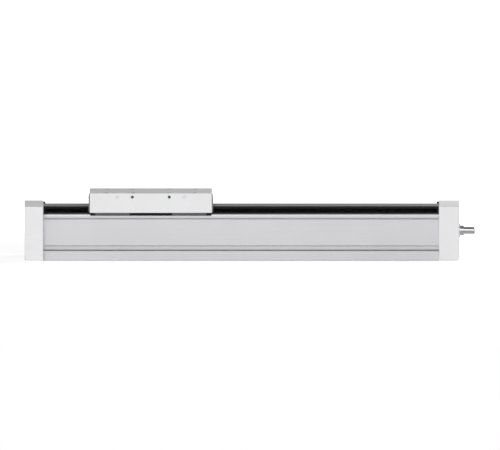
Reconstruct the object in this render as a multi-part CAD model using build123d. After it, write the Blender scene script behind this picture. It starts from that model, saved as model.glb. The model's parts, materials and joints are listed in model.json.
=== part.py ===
from build123d import *
import math
import os

# Ball screw linear module, in millimetres.
# X is the direction of travel with the drive shaft at +X, the front is -Y and
# the origin is the middle of the frame's underside.

# Lengthwise sizes
FRAME_LENGTH = 447.0
STOP_BUFFER = 2.3
STOP_GAP = 0.9
REST_FROM_IDLE_STOP = 48.0
RAIL_END_GAP = 3.5
RAIL_HOLE_PITCH = 60.0

# Ball screw and its nut
SCREW_DIAMETER = 16.0
SCREW_END_GAP = 2.5
NUT_DIAMETER = 28.0
NUT_LENGTH = 34.0
NUT_FLANGE_DIAMETER = 42.0
NUT_FLANGE_THICKNESS = 8.0
NUT_FLANGE_FLAT = 14.5
NUT_RUNNING_GAP = 0.15
NUT_WIPER_DIAMETER = 22.0
NUT_WIPER_THICKNESS = 2.5
NUT_SCREW_CIRCLE = 34.0
NUT_SCREW_ANGLE = 20.0
NUT_BAY_GAP = 1.4

# Nut bracket
BRACKET_WIDTH = 43.0
BRACKET_THICKNESS = 18.0
BRACKET_DROP = 15.2
BRACKET_FLOOR_GAP = 2.5
BRACKET_SCREW_SPACING_X = 9.0
BRACKET_SCREW_SPACING_Y = 35.8
BRACKET_SCREW_DEPTH = 6.5

# Guide rails and runner blocks
RAIL_WIDTH = 15.0
RAIL_HEIGHT = 14.0
RAIL_WAIST = 1.7
RAIL_FOOT = 4.2
RAIL_WAIST_LOW = 6.2
RAIL_WAIST_HIGH = 8.1
RAIL_HEAD = 10.4
RAIL_EDGE = 1.4
RUNNER_WIDTH = 34.0
RUNNER_HEIGHT = 19.7
RUNNER_LIFT = 4.3
RUNNER_BODY_LENGTH = 39.0
RUNNER_CAP_LENGTH = 5.5
RUNNER_CAP_INSET = 0.4
RUNNER_SCREW_SPACING = 26.0
RUNNER_SCREW_DEPTH = 6.0
RUNNER_RAIL_GAP = 0.35
RUNNER_EDGE = 1.0

# Frame profile
WALL = 6.0
FLOOR_Z = 18.0
CHANNEL_Z = 14.0
CHANNEL_WIDTH = 44.0
SCREW_SIDE_GAP = 5.0
RUNNER_SIDE_GAP = 2.0
RUNNER_TOP_GAP = 2.5
LIP_OVERHANG = 5.0
LEDGE_RISE = 1.9
LEDGE_GROOVE = 1.8
LEDGE_GROOVE_DEPTH = 4.0
BEAD_HEIGHT = 4.9
BEAD_SETBACK = 1.8
BEAD_TOP_RADIUS = 2.0
BEAD_LOW_RADIUS = 0.5
BASE_CHAMFER = 0.8
CLAMP_FOOT = 11.1
CLAMP_SLOT = 1.6
CLAMP_SLOT_DEPTH = 6.5
CLAMP_HOOK = 2.0
CLAMP_HOOK_DROP = 2.6
CLAMP_STEP = 3.5
CLAMP_STEP_DEPTH = 1.6
CLAMP_SLOPE = 1.8
SKIN = 4.0
MIDDLE_RIB = 4.0
CHAMBER_ROUND = 1.5
RAIL_RIB = 12.0
OUTER_RIB = 14.5
LIP_PORT_INSET = 3.4
LIP_PORT_DROP = 4.7
FOOT_PORT_INSET = 10.0
FOOT_PORT_Z = 8.0

# Cover plate, sealing strips and the slit that the carriage webs run in
LIP_SEAL_RISE = 1.8
LIP_SEAL_WIDTH = 3.4
LIP_SEAL_INSET = 4.6
LIP_SEAL_FOOT = 1.5
LIP_SEAL_FOOT_WIDTH = 2.2
SLIT_GAP = 0.35
WEB = 2.3
COVER_STEP = 0.5
COVER_WIDTH = 52.0
COVER_THICKNESS = 2.5
COVER_ROUND = 0.6
COVER_RIB_SPACING = 24.0
COVER_RIB = 2.0
COVER_RIB_DEPTH = 3.9
COVER_RIB_GAP = 0.6
COVER_SEAT = 4.0
STRIP_TONGUE = 2.0
STRIP_TONGUE_HEIGHT = 0.9
STRIP_SLOPE = 1.3
STRIP_SIDE_GAP = 1.0

# Carriage
CARRIAGE_END = 0.6
CARRIAGE_EDGE = 0.3
TOP_PLATE = 14.0
COVER_GAP = 1.6
SKIRT = 4.0
SKIRT_GAP = 1.2
SADDLE_SIDE_GAP = 1.0
SADDLE_POCKET_GAP = 0.5
NUT_TOP_GAP = 1.3
TAP_OUTER_SPACING_X = 100.0
TAP_INNER_SPACING_X = 40.0
TAP_SPACING_Y = 80.0
TAP_RADIUS = 2.5
ACCESS_HOLE_RADIUS = 4.5
ACCESS_PLUG_THICKNESS = 3.0
LUBE_PORT_SPACING = 41.7
LUBE_PLUG_SPACING = 75.8
LUBE_PORT_DROP = 4.3
LUBE_PORT_RADIUS = 1.7
LUBE_PORT_DEPTH = 8.0
LUBE_PLUG_DEPTH = 5.0
LUBE_PLUG_RADIUS = 2.1
SIDE_SEAL_GAP = 0.4
SIDE_SEAL_DROP = 3.1
SIDE_SEAL_TONGUE = 1.0
SIDE_SEAL_TONGUE_WIDTH = 0.5
SIDE_SEAL_END_INSET = 0.6
SIDE_PAD_DEPTH = 0.4
WIPER_THICKNESS = 1.3
WIPER_DROP = 5.8
WIPER_TAPER = 0.7
WIPER_TAPER_HEIGHT = 5.0
WIPER_SIDE_INSET = 0.6
WIPER_COVER_GAP = 0.4
WIPER_SCREW_SPACING = 90.0

# End blocks and shaft bearings
END_LIFT = 1.3
END_RISE = 1.2
END_PROUD = 13.0
END_EDGE = 0.5
DRIVE_SHOULDER = 2.0
FIXED_BEARING_BORE = 12.0
FIXED_BEARING_DIAMETER = 28.0
FIXED_BEARING_WIDTH = 12.0
LOCK_NUT_DIAMETER = 22.0
LOCK_NUT_WIDTH = 5.2
LOCK_NUT_GAP = 0.3
LOCK_NUT_SLOT = 3.0
BEARING_COVER_DIAMETER = 40.0
BEARING_COVER_THICKNESS = 3.5
BEARING_COVER_BOSS = 14.7
BEARING_COVER_BOSS_LENGTH = 1.1
BEARING_COVER_SCREW_CIRCLE = 32.0
IDLE_WALL = 6.5
FLOAT_BEARING_BORE = 10.0
FLOAT_BEARING_DIAMETER = 26.0
FLOAT_BEARING_WIDTH = 8.0
IDLE_END_ROOM = 3.5
IDLE_CAP_THICKNESS = 3.0
SHAFT_END_GAP = 0.5
RETAINING_RING = 1.1
RETAINING_RING_RISE = 1.6
RING_GROOVE_DEPTH = 0.4
RING_WALL = 2.2
SHIELD = 1.0
SHIELD_GAP = 0.3
BALL_GAP = 0.05
BALL_COUNT = 8
SHOULDER_RISE = 1.0
LAND_DIAMETER = 11.0
LAND_LENGTH = 5.2
LAND_GAP = 0.1
JOURNAL_DIAMETER = 8.0
JOURNAL_LENGTH = 12.3
JOURNAL_CHAMFER = 0.6
LOCK_NUT_ROOM = 0.75
FIT_GAP = 0.05
MOTOR_HOLE_SPACING = 40.0
MOTOR_HOLE_RADIUS = 2.1
MOTOR_HOLE_DEPTH = 10.0
BUFFER_WIDTH = 4.2
BUFFER_HEIGHT = 6.0
BUFFER_STEM = 1.2
BUFFER_STEM_DEPTH = 3.0

# Fasteners: shank radius, head radius, head height
M3 = (1.5, 2.75, 1.7)
M4 = (2.0, 3.5, 4.0)
M5 = (2.5, 4.25, 5.0)
END_SCREW_LENGTH = 16.0
RAIL_SCREW_LENGTH = 18.0
COVER_SCREW_LENGTH = 7.0
WIPER_SCREW_LENGTH = 6.0
NUT_SCREW_LENGTH = 16.0
HEAD_GAP = 0.4
SHANK_GAP = 0.25
CAP_THICKNESS = 1.3
SOCKET_SHARE = 0.5

# Places across the module, as distances from its middle plane
RAIL_Y = SCREW_DIAMETER / 2 + SCREW_SIDE_GAP + RUNNER_WIDTH / 2
WALL_Y = RAIL_Y + RUNNER_WIDTH / 2 + RUNNER_SIDE_GAP
SIDE_Y = WALL_Y + WALL
LIP_Y = WALL_Y - LIP_OVERHANG
BEAD_Y = SIDE_Y - BEAD_SETBACK
SKIRT_Y = SIDE_Y - SKIRT
STRIP_Y = SKIRT_Y - STRIP_SIDE_GAP
SADDLE_Y = LIP_Y - SADDLE_SIDE_GAP
COVER_Y = COVER_WIDTH / 2
END_Y = SIDE_Y + END_PROUD
LIP_PORT_Y = LIP_Y + LIP_PORT_INSET
FOOT_PORT_Y = SIDE_Y - FOOT_PORT_INSET
LIP_SEAL_Y = LIP_Y + LIP_SEAL_INSET
POCKET_Y = BRACKET_WIDTH / 2 + SADDLE_POCKET_GAP
SIDE_SEAL_OUTER = SIDE_Y - SIDE_SEAL_GAP
SIDE_SEAL_INNER = BEAD_Y + SIDE_SEAL_GAP
SIDE_SEAL_MIDDLE = (SIDE_SEAL_OUTER + SIDE_SEAL_INNER) / 2

# Heights above the underside
AXIS_Z = CHANNEL_Z + BRACKET_FLOOR_GAP + BRACKET_DROP
RUNNER_TOP = FLOOR_Z + RUNNER_LIFT + RUNNER_HEIGHT
LIP_UNDER = RUNNER_TOP + RUNNER_TOP_GAP
LEDGE_Z = LIP_UNDER + LEDGE_RISE
BEAD_UNDER = LEDGE_Z + LEDGE_GROOVE
LIP_TOP = BEAD_UNDER + BEAD_HEIGHT
LIP_SEAL_TOP = LIP_TOP + LIP_SEAL_RISE
WEB_UNDER = LIP_SEAL_TOP + SLIT_GAP
WEB_TOP = WEB_UNDER + WEB
STRIP_UNDER = WEB_TOP + SLIT_GAP
COVER_UNDER = STRIP_UNDER + COVER_STEP
COVER_TOP = COVER_UNDER + COVER_THICKNESS
CEILING = COVER_TOP + COVER_GAP
CARRIAGE_TOP = CEILING + TOP_PLATE
SKIRT_BOTTOM = LIP_TOP + SKIRT_GAP
END_TOP = COVER_TOP + END_RISE
NUT_POCKET_TOP = AXIS_Z + NUT_FLANGE_FLAT + NUT_TOP_GAP
LIP_PORT_Z = LIP_TOP - LIP_PORT_DROP
LUBE_PORT_Z = CARRIAGE_TOP - LUBE_PORT_DROP

# Places along the module
FRAME_END = FRAME_LENGTH / 2
IDLE_LENGTH = IDLE_WALL + FLOAT_BEARING_WIDTH + IDLE_END_ROOM + IDLE_CAP_THICKNESS
DRIVE_LENGTH = (
    DRIVE_SHOULDER + FIXED_BEARING_WIDTH + LOCK_NUT_WIDTH + LOCK_NUT_GAP + BEARING_COVER_THICKNESS
)
IDLE_FACE = -FRAME_END - IDLE_LENGTH
DRIVE_FACE = FRAME_END + DRIVE_LENGTH
FIXED_BEARING_X = FRAME_END + DRIVE_SHOULDER
LOCK_NUT_X = FIXED_BEARING_X + FIXED_BEARING_WIDTH
BEARING_COVER_X = DRIVE_FACE - BEARING_COVER_THICKNESS
FLOAT_BEARING_X = -FRAME_END - IDLE_WALL - FLOAT_BEARING_WIDTH
JOURNAL_X = DRIVE_FACE + LAND_LENGTH
SHAFT_TIP = JOURNAL_X + JOURNAL_LENGTH
IDLE_CAP_X = IDLE_FACE + IDLE_CAP_THICKNESS
SHAFT_TAIL = IDLE_CAP_X + SHAFT_END_GAP
RUNNER_LENGTH = RUNNER_BODY_LENGTH + 2 * RUNNER_CAP_LENGTH
RUNNER_PITCH = RUNNER_LENGTH + NUT_LENGTH + 2 * NUT_BAY_GAP
CARRIAGE_LENGTH = RUNNER_PITCH + RUNNER_LENGTH + 2 * CARRIAGE_END
TRAVEL_LIMIT = FRAME_END - STOP_BUFFER - STOP_GAP - WIPER_THICKNESS - CARRIAGE_LENGTH / 2
CARRIAGE_X = REST_FROM_IDLE_STOP - TRAVEL_LIMIT

SIDES = (-1, 1)
LUBE_PORT_XS = [CARRIAGE_X + end * LUBE_PORT_SPACING / 2 for end in SIDES]
LUBE_SPARE_XS = [CARRIAGE_X + end * LUBE_PLUG_SPACING / 2 for end in SIDES]
RUNNER_XS = [CARRIAGE_X + side * RUNNER_PITCH / 2 for side in SIDES]
RUNNER_SCREW_XS = [x + side * RUNNER_SCREW_SPACING / 2 for x in RUNNER_XS for side in SIDES]
RAIL_HOLE_COUNT = int((FRAME_LENGTH / 2 - RAIL_HOLE_PITCH / 2) / RAIL_HOLE_PITCH) * 2 + 1
RAIL_HOLE_XS = [
    (i - (RAIL_HOLE_COUNT - 1) / 2) * RAIL_HOLE_PITCH for i in range(RAIL_HOLE_COUNT)
]


def prism(outline, x_start, x_end):
    """A bar along X whose section is an outline of (y, z) points or a sketch."""
    section = make_face(Polyline(*outline, close=True)) if isinstance(outline, list) else outline
    return extrude(Plane.YZ.offset(x_start) * section, amount=x_end - x_start)


def slab(x_start, x_end, y_start, y_end, z_start, z_end):
    """A block between two corners."""
    size = (x_end - x_start, y_end - y_start, z_end - z_start)
    corner = (Align.MIN, Align.MIN, Align.MIN)
    return Pos(x_start, y_start, z_start) * Box(*size, align=corner)


def bar_x(radius, x_start, x_end, y=0.0, z=AXIS_Z):
    """A round bar along X."""
    length = x_end - x_start
    return Pos(x_start + length / 2, y, z) * Rot(0, 90, 0) * Cylinder(radius, length)


def bar_z(radius, z_start, z_end, x, y):
    """An upright round bar."""
    length = z_end - z_start
    return Pos(x, y, z_start + length / 2) * Cylinder(radius, length)


def bar_y(radius, y_start, y_end, x, z):
    """A round bar along Y."""
    length = y_end - y_start
    return Pos(x, y_start + length / 2, z) * Rot(90, 0, 0) * Cylinder(radius, length)


def turned(outline):
    """A body turned about the screw axis from (x, radius) points."""
    section = make_face(Polyline(*outline, close=True))
    return Pos(0, 0, AXIS_Z) * revolve(Plane.XZ * section, Axis.X)


def mirrored(shape):
    """The same shape on the other side of the middle plane."""
    return mirror(shape, about=Plane.XZ)


def both_sides(outline):
    """A full (y, z) outline from the points of its +Y half, listed upwards."""
    return outline + [(-y, z) for y, z in reversed(outline)]


def socket_screw(size, length):
    """A socket head screw along -Z, with the underside of its head at the origin."""
    shank, head, height = size
    body = Pos(0, 0, height / 2) * Cylinder(head, height)
    body += Pos(0, 0, -length / 2) * Cylinder(shank, length)
    depth = height * SOCKET_SHARE
    key = extrude(RegularPolygon(head * SOCKET_SHARE, 6), amount=depth)
    return body - Pos(0, 0, height - depth) * key


def rail_section():
    """The rail's section, with a waist on each side for the ball rows."""
    half = RAIL_WIDTH / 2
    waist = half - RAIL_WAIST
    outline = [
        (half, FLOOR_Z),
        (half, FLOOR_Z + RAIL_FOOT),
        (waist, FLOOR_Z + RAIL_WAIST_LOW),
        (waist, FLOOR_Z + RAIL_WAIST_HIGH),
        (half, FLOOR_Z + RAIL_HEAD),
        (half, FLOOR_Z + RAIL_HEIGHT - RAIL_EDGE),
        (half - RAIL_EDGE, FLOOR_Z + RAIL_HEIGHT),
    ]
    return make_face(Polyline(*both_sides(outline), close=True))


def frame_profile():
    """The extruded frame: a hollow floor, two side walls with hooked clamp grooves, and beaded lips."""
    slot_top = CLAMP_FOOT + CLAMP_SLOT
    step_top = slot_top + CLAMP_STEP
    half = [
        (SIDE_Y - BASE_CHAMFER, 0),
        (SIDE_Y, BASE_CHAMFER),
        (SIDE_Y, CLAMP_FOOT),
        (SIDE_Y - CLAMP_HOOK, CLAMP_FOOT),
        (SIDE_Y - CLAMP_HOOK, CLAMP_FOOT - CLAMP_HOOK_DROP),
        (SIDE_Y - CLAMP_SLOT_DEPTH, CLAMP_FOOT - CLAMP_HOOK_DROP),
        (SIDE_Y - CLAMP_SLOT_DEPTH, slot_top),
        (SIDE_Y - CLAMP_STEP_DEPTH, slot_top),
        (SIDE_Y - CLAMP_STEP_DEPTH, step_top),
        (SIDE_Y, step_top + CLAMP_SLOPE),
        (SIDE_Y, LEDGE_Z),
        (SIDE_Y - LEDGE_GROOVE_DEPTH, LEDGE_Z),
        (SIDE_Y - LEDGE_GROOVE_DEPTH, BEAD_UNDER),
        (LIP_Y, BEAD_UNDER),
        (LIP_Y, LIP_UNDER),
        (WALL_Y, LIP_UNDER),
        (WALL_Y, FLOOR_Z),
        (CHANNEL_WIDTH / 2, FLOOR_Z),
        (CHANNEL_WIDTH / 2, CHANNEL_Z),
    ]
    section = make_face(Polyline(*both_sides(half), close=True))
    bead_width = BEAD_Y - LIP_Y
    bead = Rectangle(bead_width, BEAD_HEIGHT)
    bead = fillet(bead.vertices().group_by(Axis.X)[-1].sort_by(Axis.Y)[-1], BEAD_TOP_RADIUS)
    low_corner = bead.vertices().group_by(Axis.Y)[0].sort_by(Axis.X)[-1]
    bead = fillet(low_corner, BEAD_LOW_RADIUS)
    seal_foot = Rectangle(LIP_SEAL_FOOT_WIDTH, LIP_SEAL_FOOT)
    rib_edge = RAIL_Y + RAIL_RIB / 2
    inner_width = CHANNEL_WIDTH / 2 - MIDDLE_RIB / 2 - SKIN
    inner_room = RectangleRounded(inner_width, CHANNEL_Z - 2 * SKIN, CHAMBER_ROUND)
    outer_width = SIDE_Y - OUTER_RIB - rib_edge
    outer_room = RectangleRounded(outer_width, FLOOR_Z - 2 * SKIN, CHAMBER_ROUND)
    for side in SIDES:
        facing = bead if side > 0 else mirror(bead, about=Plane.YZ)
        bead_place = Pos(side * (LIP_Y + bead_width / 2), BEAD_UNDER + BEAD_HEIGHT / 2)
        section += bead_place * facing
        section -= Pos(side * LIP_SEAL_Y, LIP_TOP - LIP_SEAL_FOOT / 2) * seal_foot
        section -= Pos(side * (MIDDLE_RIB / 2 + inner_width / 2), CHANNEL_Z / 2) * inner_room
        section -= Pos(side * (rib_edge + outer_width / 2), FLOOR_Z / 2) * outer_room
        section -= Pos(side * LIP_PORT_Y, LIP_PORT_Z) * Circle(M5[0])
        section -= Pos(side * FOOT_PORT_Y, FOOT_PORT_Z) * Circle(M5[0])
    body = prism(section, -FRAME_END, FRAME_END)
    tapped = RAIL_SCREW_LENGTH - (RAIL_HEIGHT - M4[2] - CAP_THICKNESS)
    for x in RAIL_HOLE_XS:
        for side in SIDES:
            body -= bar_z(M4[0], FLOOR_Z - tapped, FLOOR_Z, x, side * RAIL_Y)
    return body


def guide_rail(side):
    """A ground profile rail with counterbored fixing holes."""
    body = Pos(0, side * RAIL_Y, 0) * prism(
        rail_section(), -FRAME_END + RAIL_END_GAP, FRAME_END - RAIL_END_GAP
    )
    top = FLOOR_Z + RAIL_HEIGHT
    for x in RAIL_HOLE_XS:
        body -= bar_z(M4[0] + SHANK_GAP, FLOOR_Z, top, x, side * RAIL_Y)
        body -= bar_z(M4[1] + SHANK_GAP, top - CAP_THICKNESS - M4[2], top, x, side * RAIL_Y)
    return body


def rail_screws():
    """The rail fixing screws, one in each rail hole."""
    seat = FLOOR_Z + RAIL_HEIGHT - CAP_THICKNESS - M4[2]
    screw = socket_screw(M4, RAIL_SCREW_LENGTH)
    return [Pos(x, side * RAIL_Y, seat) * screw for x in RAIL_HOLE_XS for side in SIDES]


def rail_hole_caps():
    """Flush caps that close the rail holes."""
    top = FLOOR_Z + RAIL_HEIGHT
    radius = M4[1] + SHANK_GAP - FIT_GAP
    return [
        bar_z(radius, top - CAP_THICKNESS, top, x, side * RAIL_Y)
        for x in RAIL_HOLE_XS
        for side in SIDES
    ]


def end_block(x_start, x_end):
    """A plain end block with chamfered edges, still without its bores."""
    body = slab(x_start, x_end, -END_Y, END_Y, END_LIFT, END_TOP)
    return chamfer(body.edges(), END_EDGE)


def end_block_cuts(body, inward, outer_face, inner_face):
    """Cuts the cover slot, the buffer stems and the counterbored screw holes."""
    seat = COVER_SEAT + FIT_GAP
    slot_low = COVER_UNDER - FIT_GAP
    slot_high = COVER_TOP + FIT_GAP
    ends = sorted((inner_face, inner_face - inward * seat))
    body -= slab(*ends, -COVER_Y - FIT_GAP, COVER_Y + FIT_GAP, slot_low, slot_high)
    head_seat = outer_face + inward * (M5[2] + HEAD_GAP)
    for y, z in end_screw_places():
        body -= bar_x(M5[0] + SHANK_GAP, *sorted((outer_face, inner_face)), y, z)
        body -= bar_x(M5[1] + HEAD_GAP, *sorted((outer_face, head_seat)), y, z)
    for y, z in buffer_places():
        stem_end = inner_face - inward * BUFFER_STEM_DEPTH
        body -= bar_x(BUFFER_STEM + FIT_GAP, *sorted((inner_face, stem_end)), y, z)
    return body


def end_screw_places():
    """The four screws that hold an end block, over the ports of the frame profile."""
    lip = [(side * LIP_PORT_Y, LIP_PORT_Z) for side in SIDES]
    foot = [(side * FOOT_PORT_Y, FOOT_PORT_Z) for side in SIDES]
    return lip + foot


def buffer_places():
    """Middles of the stop buffers, in line with the side walls of the carriage."""
    z = END_TOP - END_RISE / 2 - BUFFER_HEIGHT / 2
    return [(side * (SKIRT_Y + SKIRT / 2), z) for side in SIDES]


def drive_end_block():
    """The drive side end block, bored for the fixed bearing and tapped for a motor flange."""
    body = end_block_cuts(end_block(FRAME_END, DRIVE_FACE), -1, DRIVE_FACE, FRAME_END)
    bore = FIXED_BEARING_DIAMETER / 2 + FIT_GAP
    shaft_hole = FIXED_BEARING_DIAMETER / 2 - RING_WALL
    body -= bar_x(shaft_hole, FRAME_END, DRIVE_FACE)
    body -= bar_x(bore, FIXED_BEARING_X, DRIVE_FACE)
    body -= bar_x(BEARING_COVER_DIAMETER / 2 + FIT_GAP, BEARING_COVER_X, DRIVE_FACE)
    for y, z in cover_screw_places():
        body -= bar_x(M3[0], DRIVE_FACE - COVER_SCREW_LENGTH - M3[2], DRIVE_FACE, y, z)
    for y, z in motor_hole_places():
        body -= bar_x(MOTOR_HOLE_RADIUS, DRIVE_FACE - MOTOR_HOLE_DEPTH, DRIVE_FACE, y, z)
    return body


def motor_hole_places():
    """The square of tapped holes around the drive shaft."""
    half = MOTOR_HOLE_SPACING / 2
    return [(sy * half, AXIS_Z + sz * half) for sy in SIDES for sz in SIDES]


def cover_screw_places():
    """Four screws on a circle around the drive shaft, above, below and beside it."""
    radius = BEARING_COVER_SCREW_CIRCLE / 2
    quarters = [math.radians(90 * i) for i in range(4)]
    return [(radius * math.cos(a), AXIS_Z + radius * math.sin(a)) for a in quarters]


def idle_end_block():
    """The idle side end block, bored for the floating bearing and its end cap."""
    body = end_block_cuts(end_block(IDLE_FACE, -FRAME_END), 1, IDLE_FACE, -FRAME_END)
    bore = FLOAT_BEARING_DIAMETER / 2 + FIT_GAP
    body -= bar_x(FLOAT_BEARING_DIAMETER / 2 - RING_WALL, IDLE_FACE, -FRAME_END)
    return body - bar_x(bore, IDLE_FACE, FLOAT_BEARING_X + FLOAT_BEARING_WIDTH)


def end_block_screws(outer_face, inward):
    """Socket head screws that pull one end block against the frame."""
    seat = outer_face + inward * (M5[2] + HEAD_GAP)
    block = abs(outer_face) - FRAME_END - M5[2] - HEAD_GAP
    screw = socket_screw(M5, block + END_SCREW_LENGTH)
    turn = Rot(0, -90 * inward, 0)
    return [Pos(seat, y, z) * turn * screw for y, z in end_screw_places()]


def stop_buffers():
    """Rubber buffers on the inner faces of both end blocks."""
    bodies = []
    for end in SIDES:
        face = end * FRAME_END
        reach = face - end * STOP_BUFFER
        stem_end = face + end * BUFFER_STEM_DEPTH
        for y, z in buffer_places():
            pad = slab(
                *sorted((face, reach)),
                y - BUFFER_WIDTH / 2,
                y + BUFFER_WIDTH / 2,
                z - BUFFER_HEIGHT / 2,
                z + BUFFER_HEIGHT / 2,
            )
            bodies.append(pad + bar_x(BUFFER_STEM, *sorted((face, stem_end)), y, z))
    return bodies


def cover_plate():
    """The long cover with two stiffening ribs, grooved at its edges for the sealing strips."""
    groove_mid = COVER_UNDER + COVER_THICKNESS / 2
    plate = Rectangle(COVER_WIDTH, COVER_THICKNESS)
    plate = fillet(plate.vertices().group_by(Axis.Y)[-1], COVER_ROUND)
    section = Pos(0, groove_mid) * plate
    groove = Rectangle(STRIP_TONGUE + FIT_GAP, STRIP_TONGUE_HEIGHT + 2 * FIT_GAP)
    for side in SIDES:
        middle = COVER_Y - (STRIP_TONGUE + FIT_GAP) / 2
        section -= Pos(side * middle, groove_mid) * groove
    rib = Rectangle(COVER_RIB, COVER_RIB_DEPTH)
    body = prism(section, -FRAME_END - COVER_SEAT, FRAME_END + COVER_SEAT)
    for side in SIDES:
        place = Pos(side * COVER_RIB_SPACING / 2, COVER_UNDER - COVER_RIB_DEPTH / 2)
        body += prism(place * rib, -FRAME_END, FRAME_END)
    return body


def sealing_strip(side):
    """A flexible strip that hangs from the cover's edge and slopes down to the side."""
    middle = COVER_UNDER + COVER_THICKNESS / 2
    tongue = STRIP_TONGUE_HEIGHT / 2
    outline = [
        (COVER_Y, STRIP_UNDER),
        (STRIP_Y, STRIP_UNDER),
        (STRIP_Y, COVER_TOP - STRIP_SLOPE - COVER_ROUND),
        (COVER_Y, COVER_TOP - COVER_ROUND),
        (COVER_Y, middle + tongue),
        (COVER_Y - STRIP_TONGUE, middle + tongue),
        (COVER_Y - STRIP_TONGUE, middle - tongue),
        (COVER_Y, middle - tongue),
    ]
    body = prism(outline, -FRAME_END, FRAME_END)
    return body if side > 0 else mirrored(body)


def lip_seal(side):
    """The lower seal, whose foot sits in a groove on top of the frame's lip."""
    foot = LIP_SEAL_FOOT_WIDTH / 2 - FIT_GAP
    wide = LIP_SEAL_WIDTH / 2
    outline = [
        (LIP_SEAL_Y - foot, LIP_TOP - LIP_SEAL_FOOT + FIT_GAP),
        (LIP_SEAL_Y + foot, LIP_TOP - LIP_SEAL_FOOT + FIT_GAP),
        (LIP_SEAL_Y + foot, LIP_TOP),
        (LIP_SEAL_Y + wide, LIP_TOP),
        (LIP_SEAL_Y + foot, LIP_SEAL_TOP),
        (LIP_SEAL_Y - foot, LIP_SEAL_TOP),
        (LIP_SEAL_Y - wide, LIP_TOP),
        (LIP_SEAL_Y - foot, LIP_TOP),
    ]
    body = prism(outline, -FRAME_END, FRAME_END)
    return body if side > 0 else mirrored(body)


def ball_screw():
    """The screw with its turned ends: tail seat, thread, bearing seat, land and journal."""
    tail = FLOAT_BEARING_BORE / 2
    seat = FIXED_BEARING_BORE / 2
    ring_x = FLOAT_BEARING_X - RETAINING_RING
    outline = [
        (SHAFT_TAIL, 0),
        (SHAFT_TAIL, tail),
        (ring_x, tail),
        (ring_x, tail - RING_GROOVE_DEPTH),
        (FLOAT_BEARING_X, tail - RING_GROOVE_DEPTH),
        (FLOAT_BEARING_X, tail),
        (FLOAT_BEARING_X + FLOAT_BEARING_WIDTH, tail),
        (FLOAT_BEARING_X + FLOAT_BEARING_WIDTH, tail + SHOULDER_RISE),
        (-FRAME_END + SCREW_END_GAP, tail + SHOULDER_RISE),
        (-FRAME_END + SCREW_END_GAP, SCREW_DIAMETER / 2),
        (FRAME_END - SCREW_END_GAP, SCREW_DIAMETER / 2),
        (FRAME_END - SCREW_END_GAP, seat + SHOULDER_RISE),
        (FIXED_BEARING_X, seat + SHOULDER_RISE),
        (FIXED_BEARING_X, seat),
        (LOCK_NUT_X + LOCK_NUT_WIDTH, seat),
        (LOCK_NUT_X + LOCK_NUT_WIDTH, LAND_DIAMETER / 2),
        (JOURNAL_X, LAND_DIAMETER / 2),
        (JOURNAL_X, JOURNAL_DIAMETER / 2),
        (SHAFT_TIP - JOURNAL_CHAMFER, JOURNAL_DIAMETER / 2),
        (SHAFT_TIP, JOURNAL_DIAMETER / 2 - JOURNAL_CHAMFER),
        (SHAFT_TIP, 0),
    ]
    return turned(outline)


def bearing_inner_ring(x, width, bore):
    """The ring that turns with the shaft."""
    low = bore / 2
    return turned([(x, low), (x + width, low), (x + width, low + RING_WALL), (x, low + RING_WALL)])


def bearing_outer_ring(x, width, bore, diameter):
    """The still ring, with a shield on each side down to the inner ring."""
    race = diameter / 2 - RING_WALL
    shield = bore / 2 + RING_WALL + SHIELD_GAP
    return turned(
        [
            (x, diameter / 2),
            (x, shield),
            (x + SHIELD, shield),
            (x + SHIELD, race),
            (x + width - SHIELD, race),
            (x + width - SHIELD, shield),
            (x + width, shield),
            (x + width, diameter / 2),
        ]
    )


def bearing_balls():
    """The balls of both bearings, between their rings."""
    bodies = []
    bearings = [
        (FIXED_BEARING_X + FIXED_BEARING_WIDTH / 2, FIXED_BEARING_BORE, FIXED_BEARING_DIAMETER),
        (FLOAT_BEARING_X + FLOAT_BEARING_WIDTH / 2, FLOAT_BEARING_BORE, FLOAT_BEARING_DIAMETER),
    ]
    for x, bore, diameter in bearings:
        inner = bore / 2 + RING_WALL
        outer = diameter / 2 - RING_WALL
        circle = (inner + outer) / 2
        radius = (outer - inner) / 2 - BALL_GAP
        for i in range(BALL_COUNT):
            angle = 2 * math.pi * i / BALL_COUNT
            place = Pos(x, circle * math.cos(angle), AXIS_Z + circle * math.sin(angle))
            bodies.append(place * Sphere(radius))
    return bodies


def lock_nut():
    """The slotted ring nut that clamps the fixed bearing on the shaft."""
    x_end = LOCK_NUT_X + LOCK_NUT_WIDTH
    body = bar_x(LOCK_NUT_DIAMETER / 2, LOCK_NUT_X, x_end)
    body -= bar_x(FIXED_BEARING_BORE / 2, LOCK_NUT_X, x_end)
    for i in range(4):
        slot = slab(
            LOCK_NUT_X,
            x_end,
            -LOCK_NUT_SLOT / 2,
            LOCK_NUT_SLOT / 2,
            LOCK_NUT_DIAMETER / 2 - LOCK_NUT_SLOT / 2,
            LOCK_NUT_DIAMETER / 2,
        )
        body -= Pos(0, 0, AXIS_Z) * Rot(90 * i, 0, 0) * slot
    return body


def retaining_ring():
    """The spring ring behind the floating bearing, open at the bottom."""
    low = FLOAT_BEARING_BORE / 2 - RING_GROOVE_DEPTH
    high = FLOAT_BEARING_BORE / 2 + RETAINING_RING_RISE
    x = FLOAT_BEARING_X - RETAINING_RING
    body = bar_x(high, x, FLOAT_BEARING_X) - bar_x(low, x, FLOAT_BEARING_X)
    gap = low / 2
    return body - slab(x, FLOAT_BEARING_X, -gap, gap, AXIS_Z - high, AXIS_Z)


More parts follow.
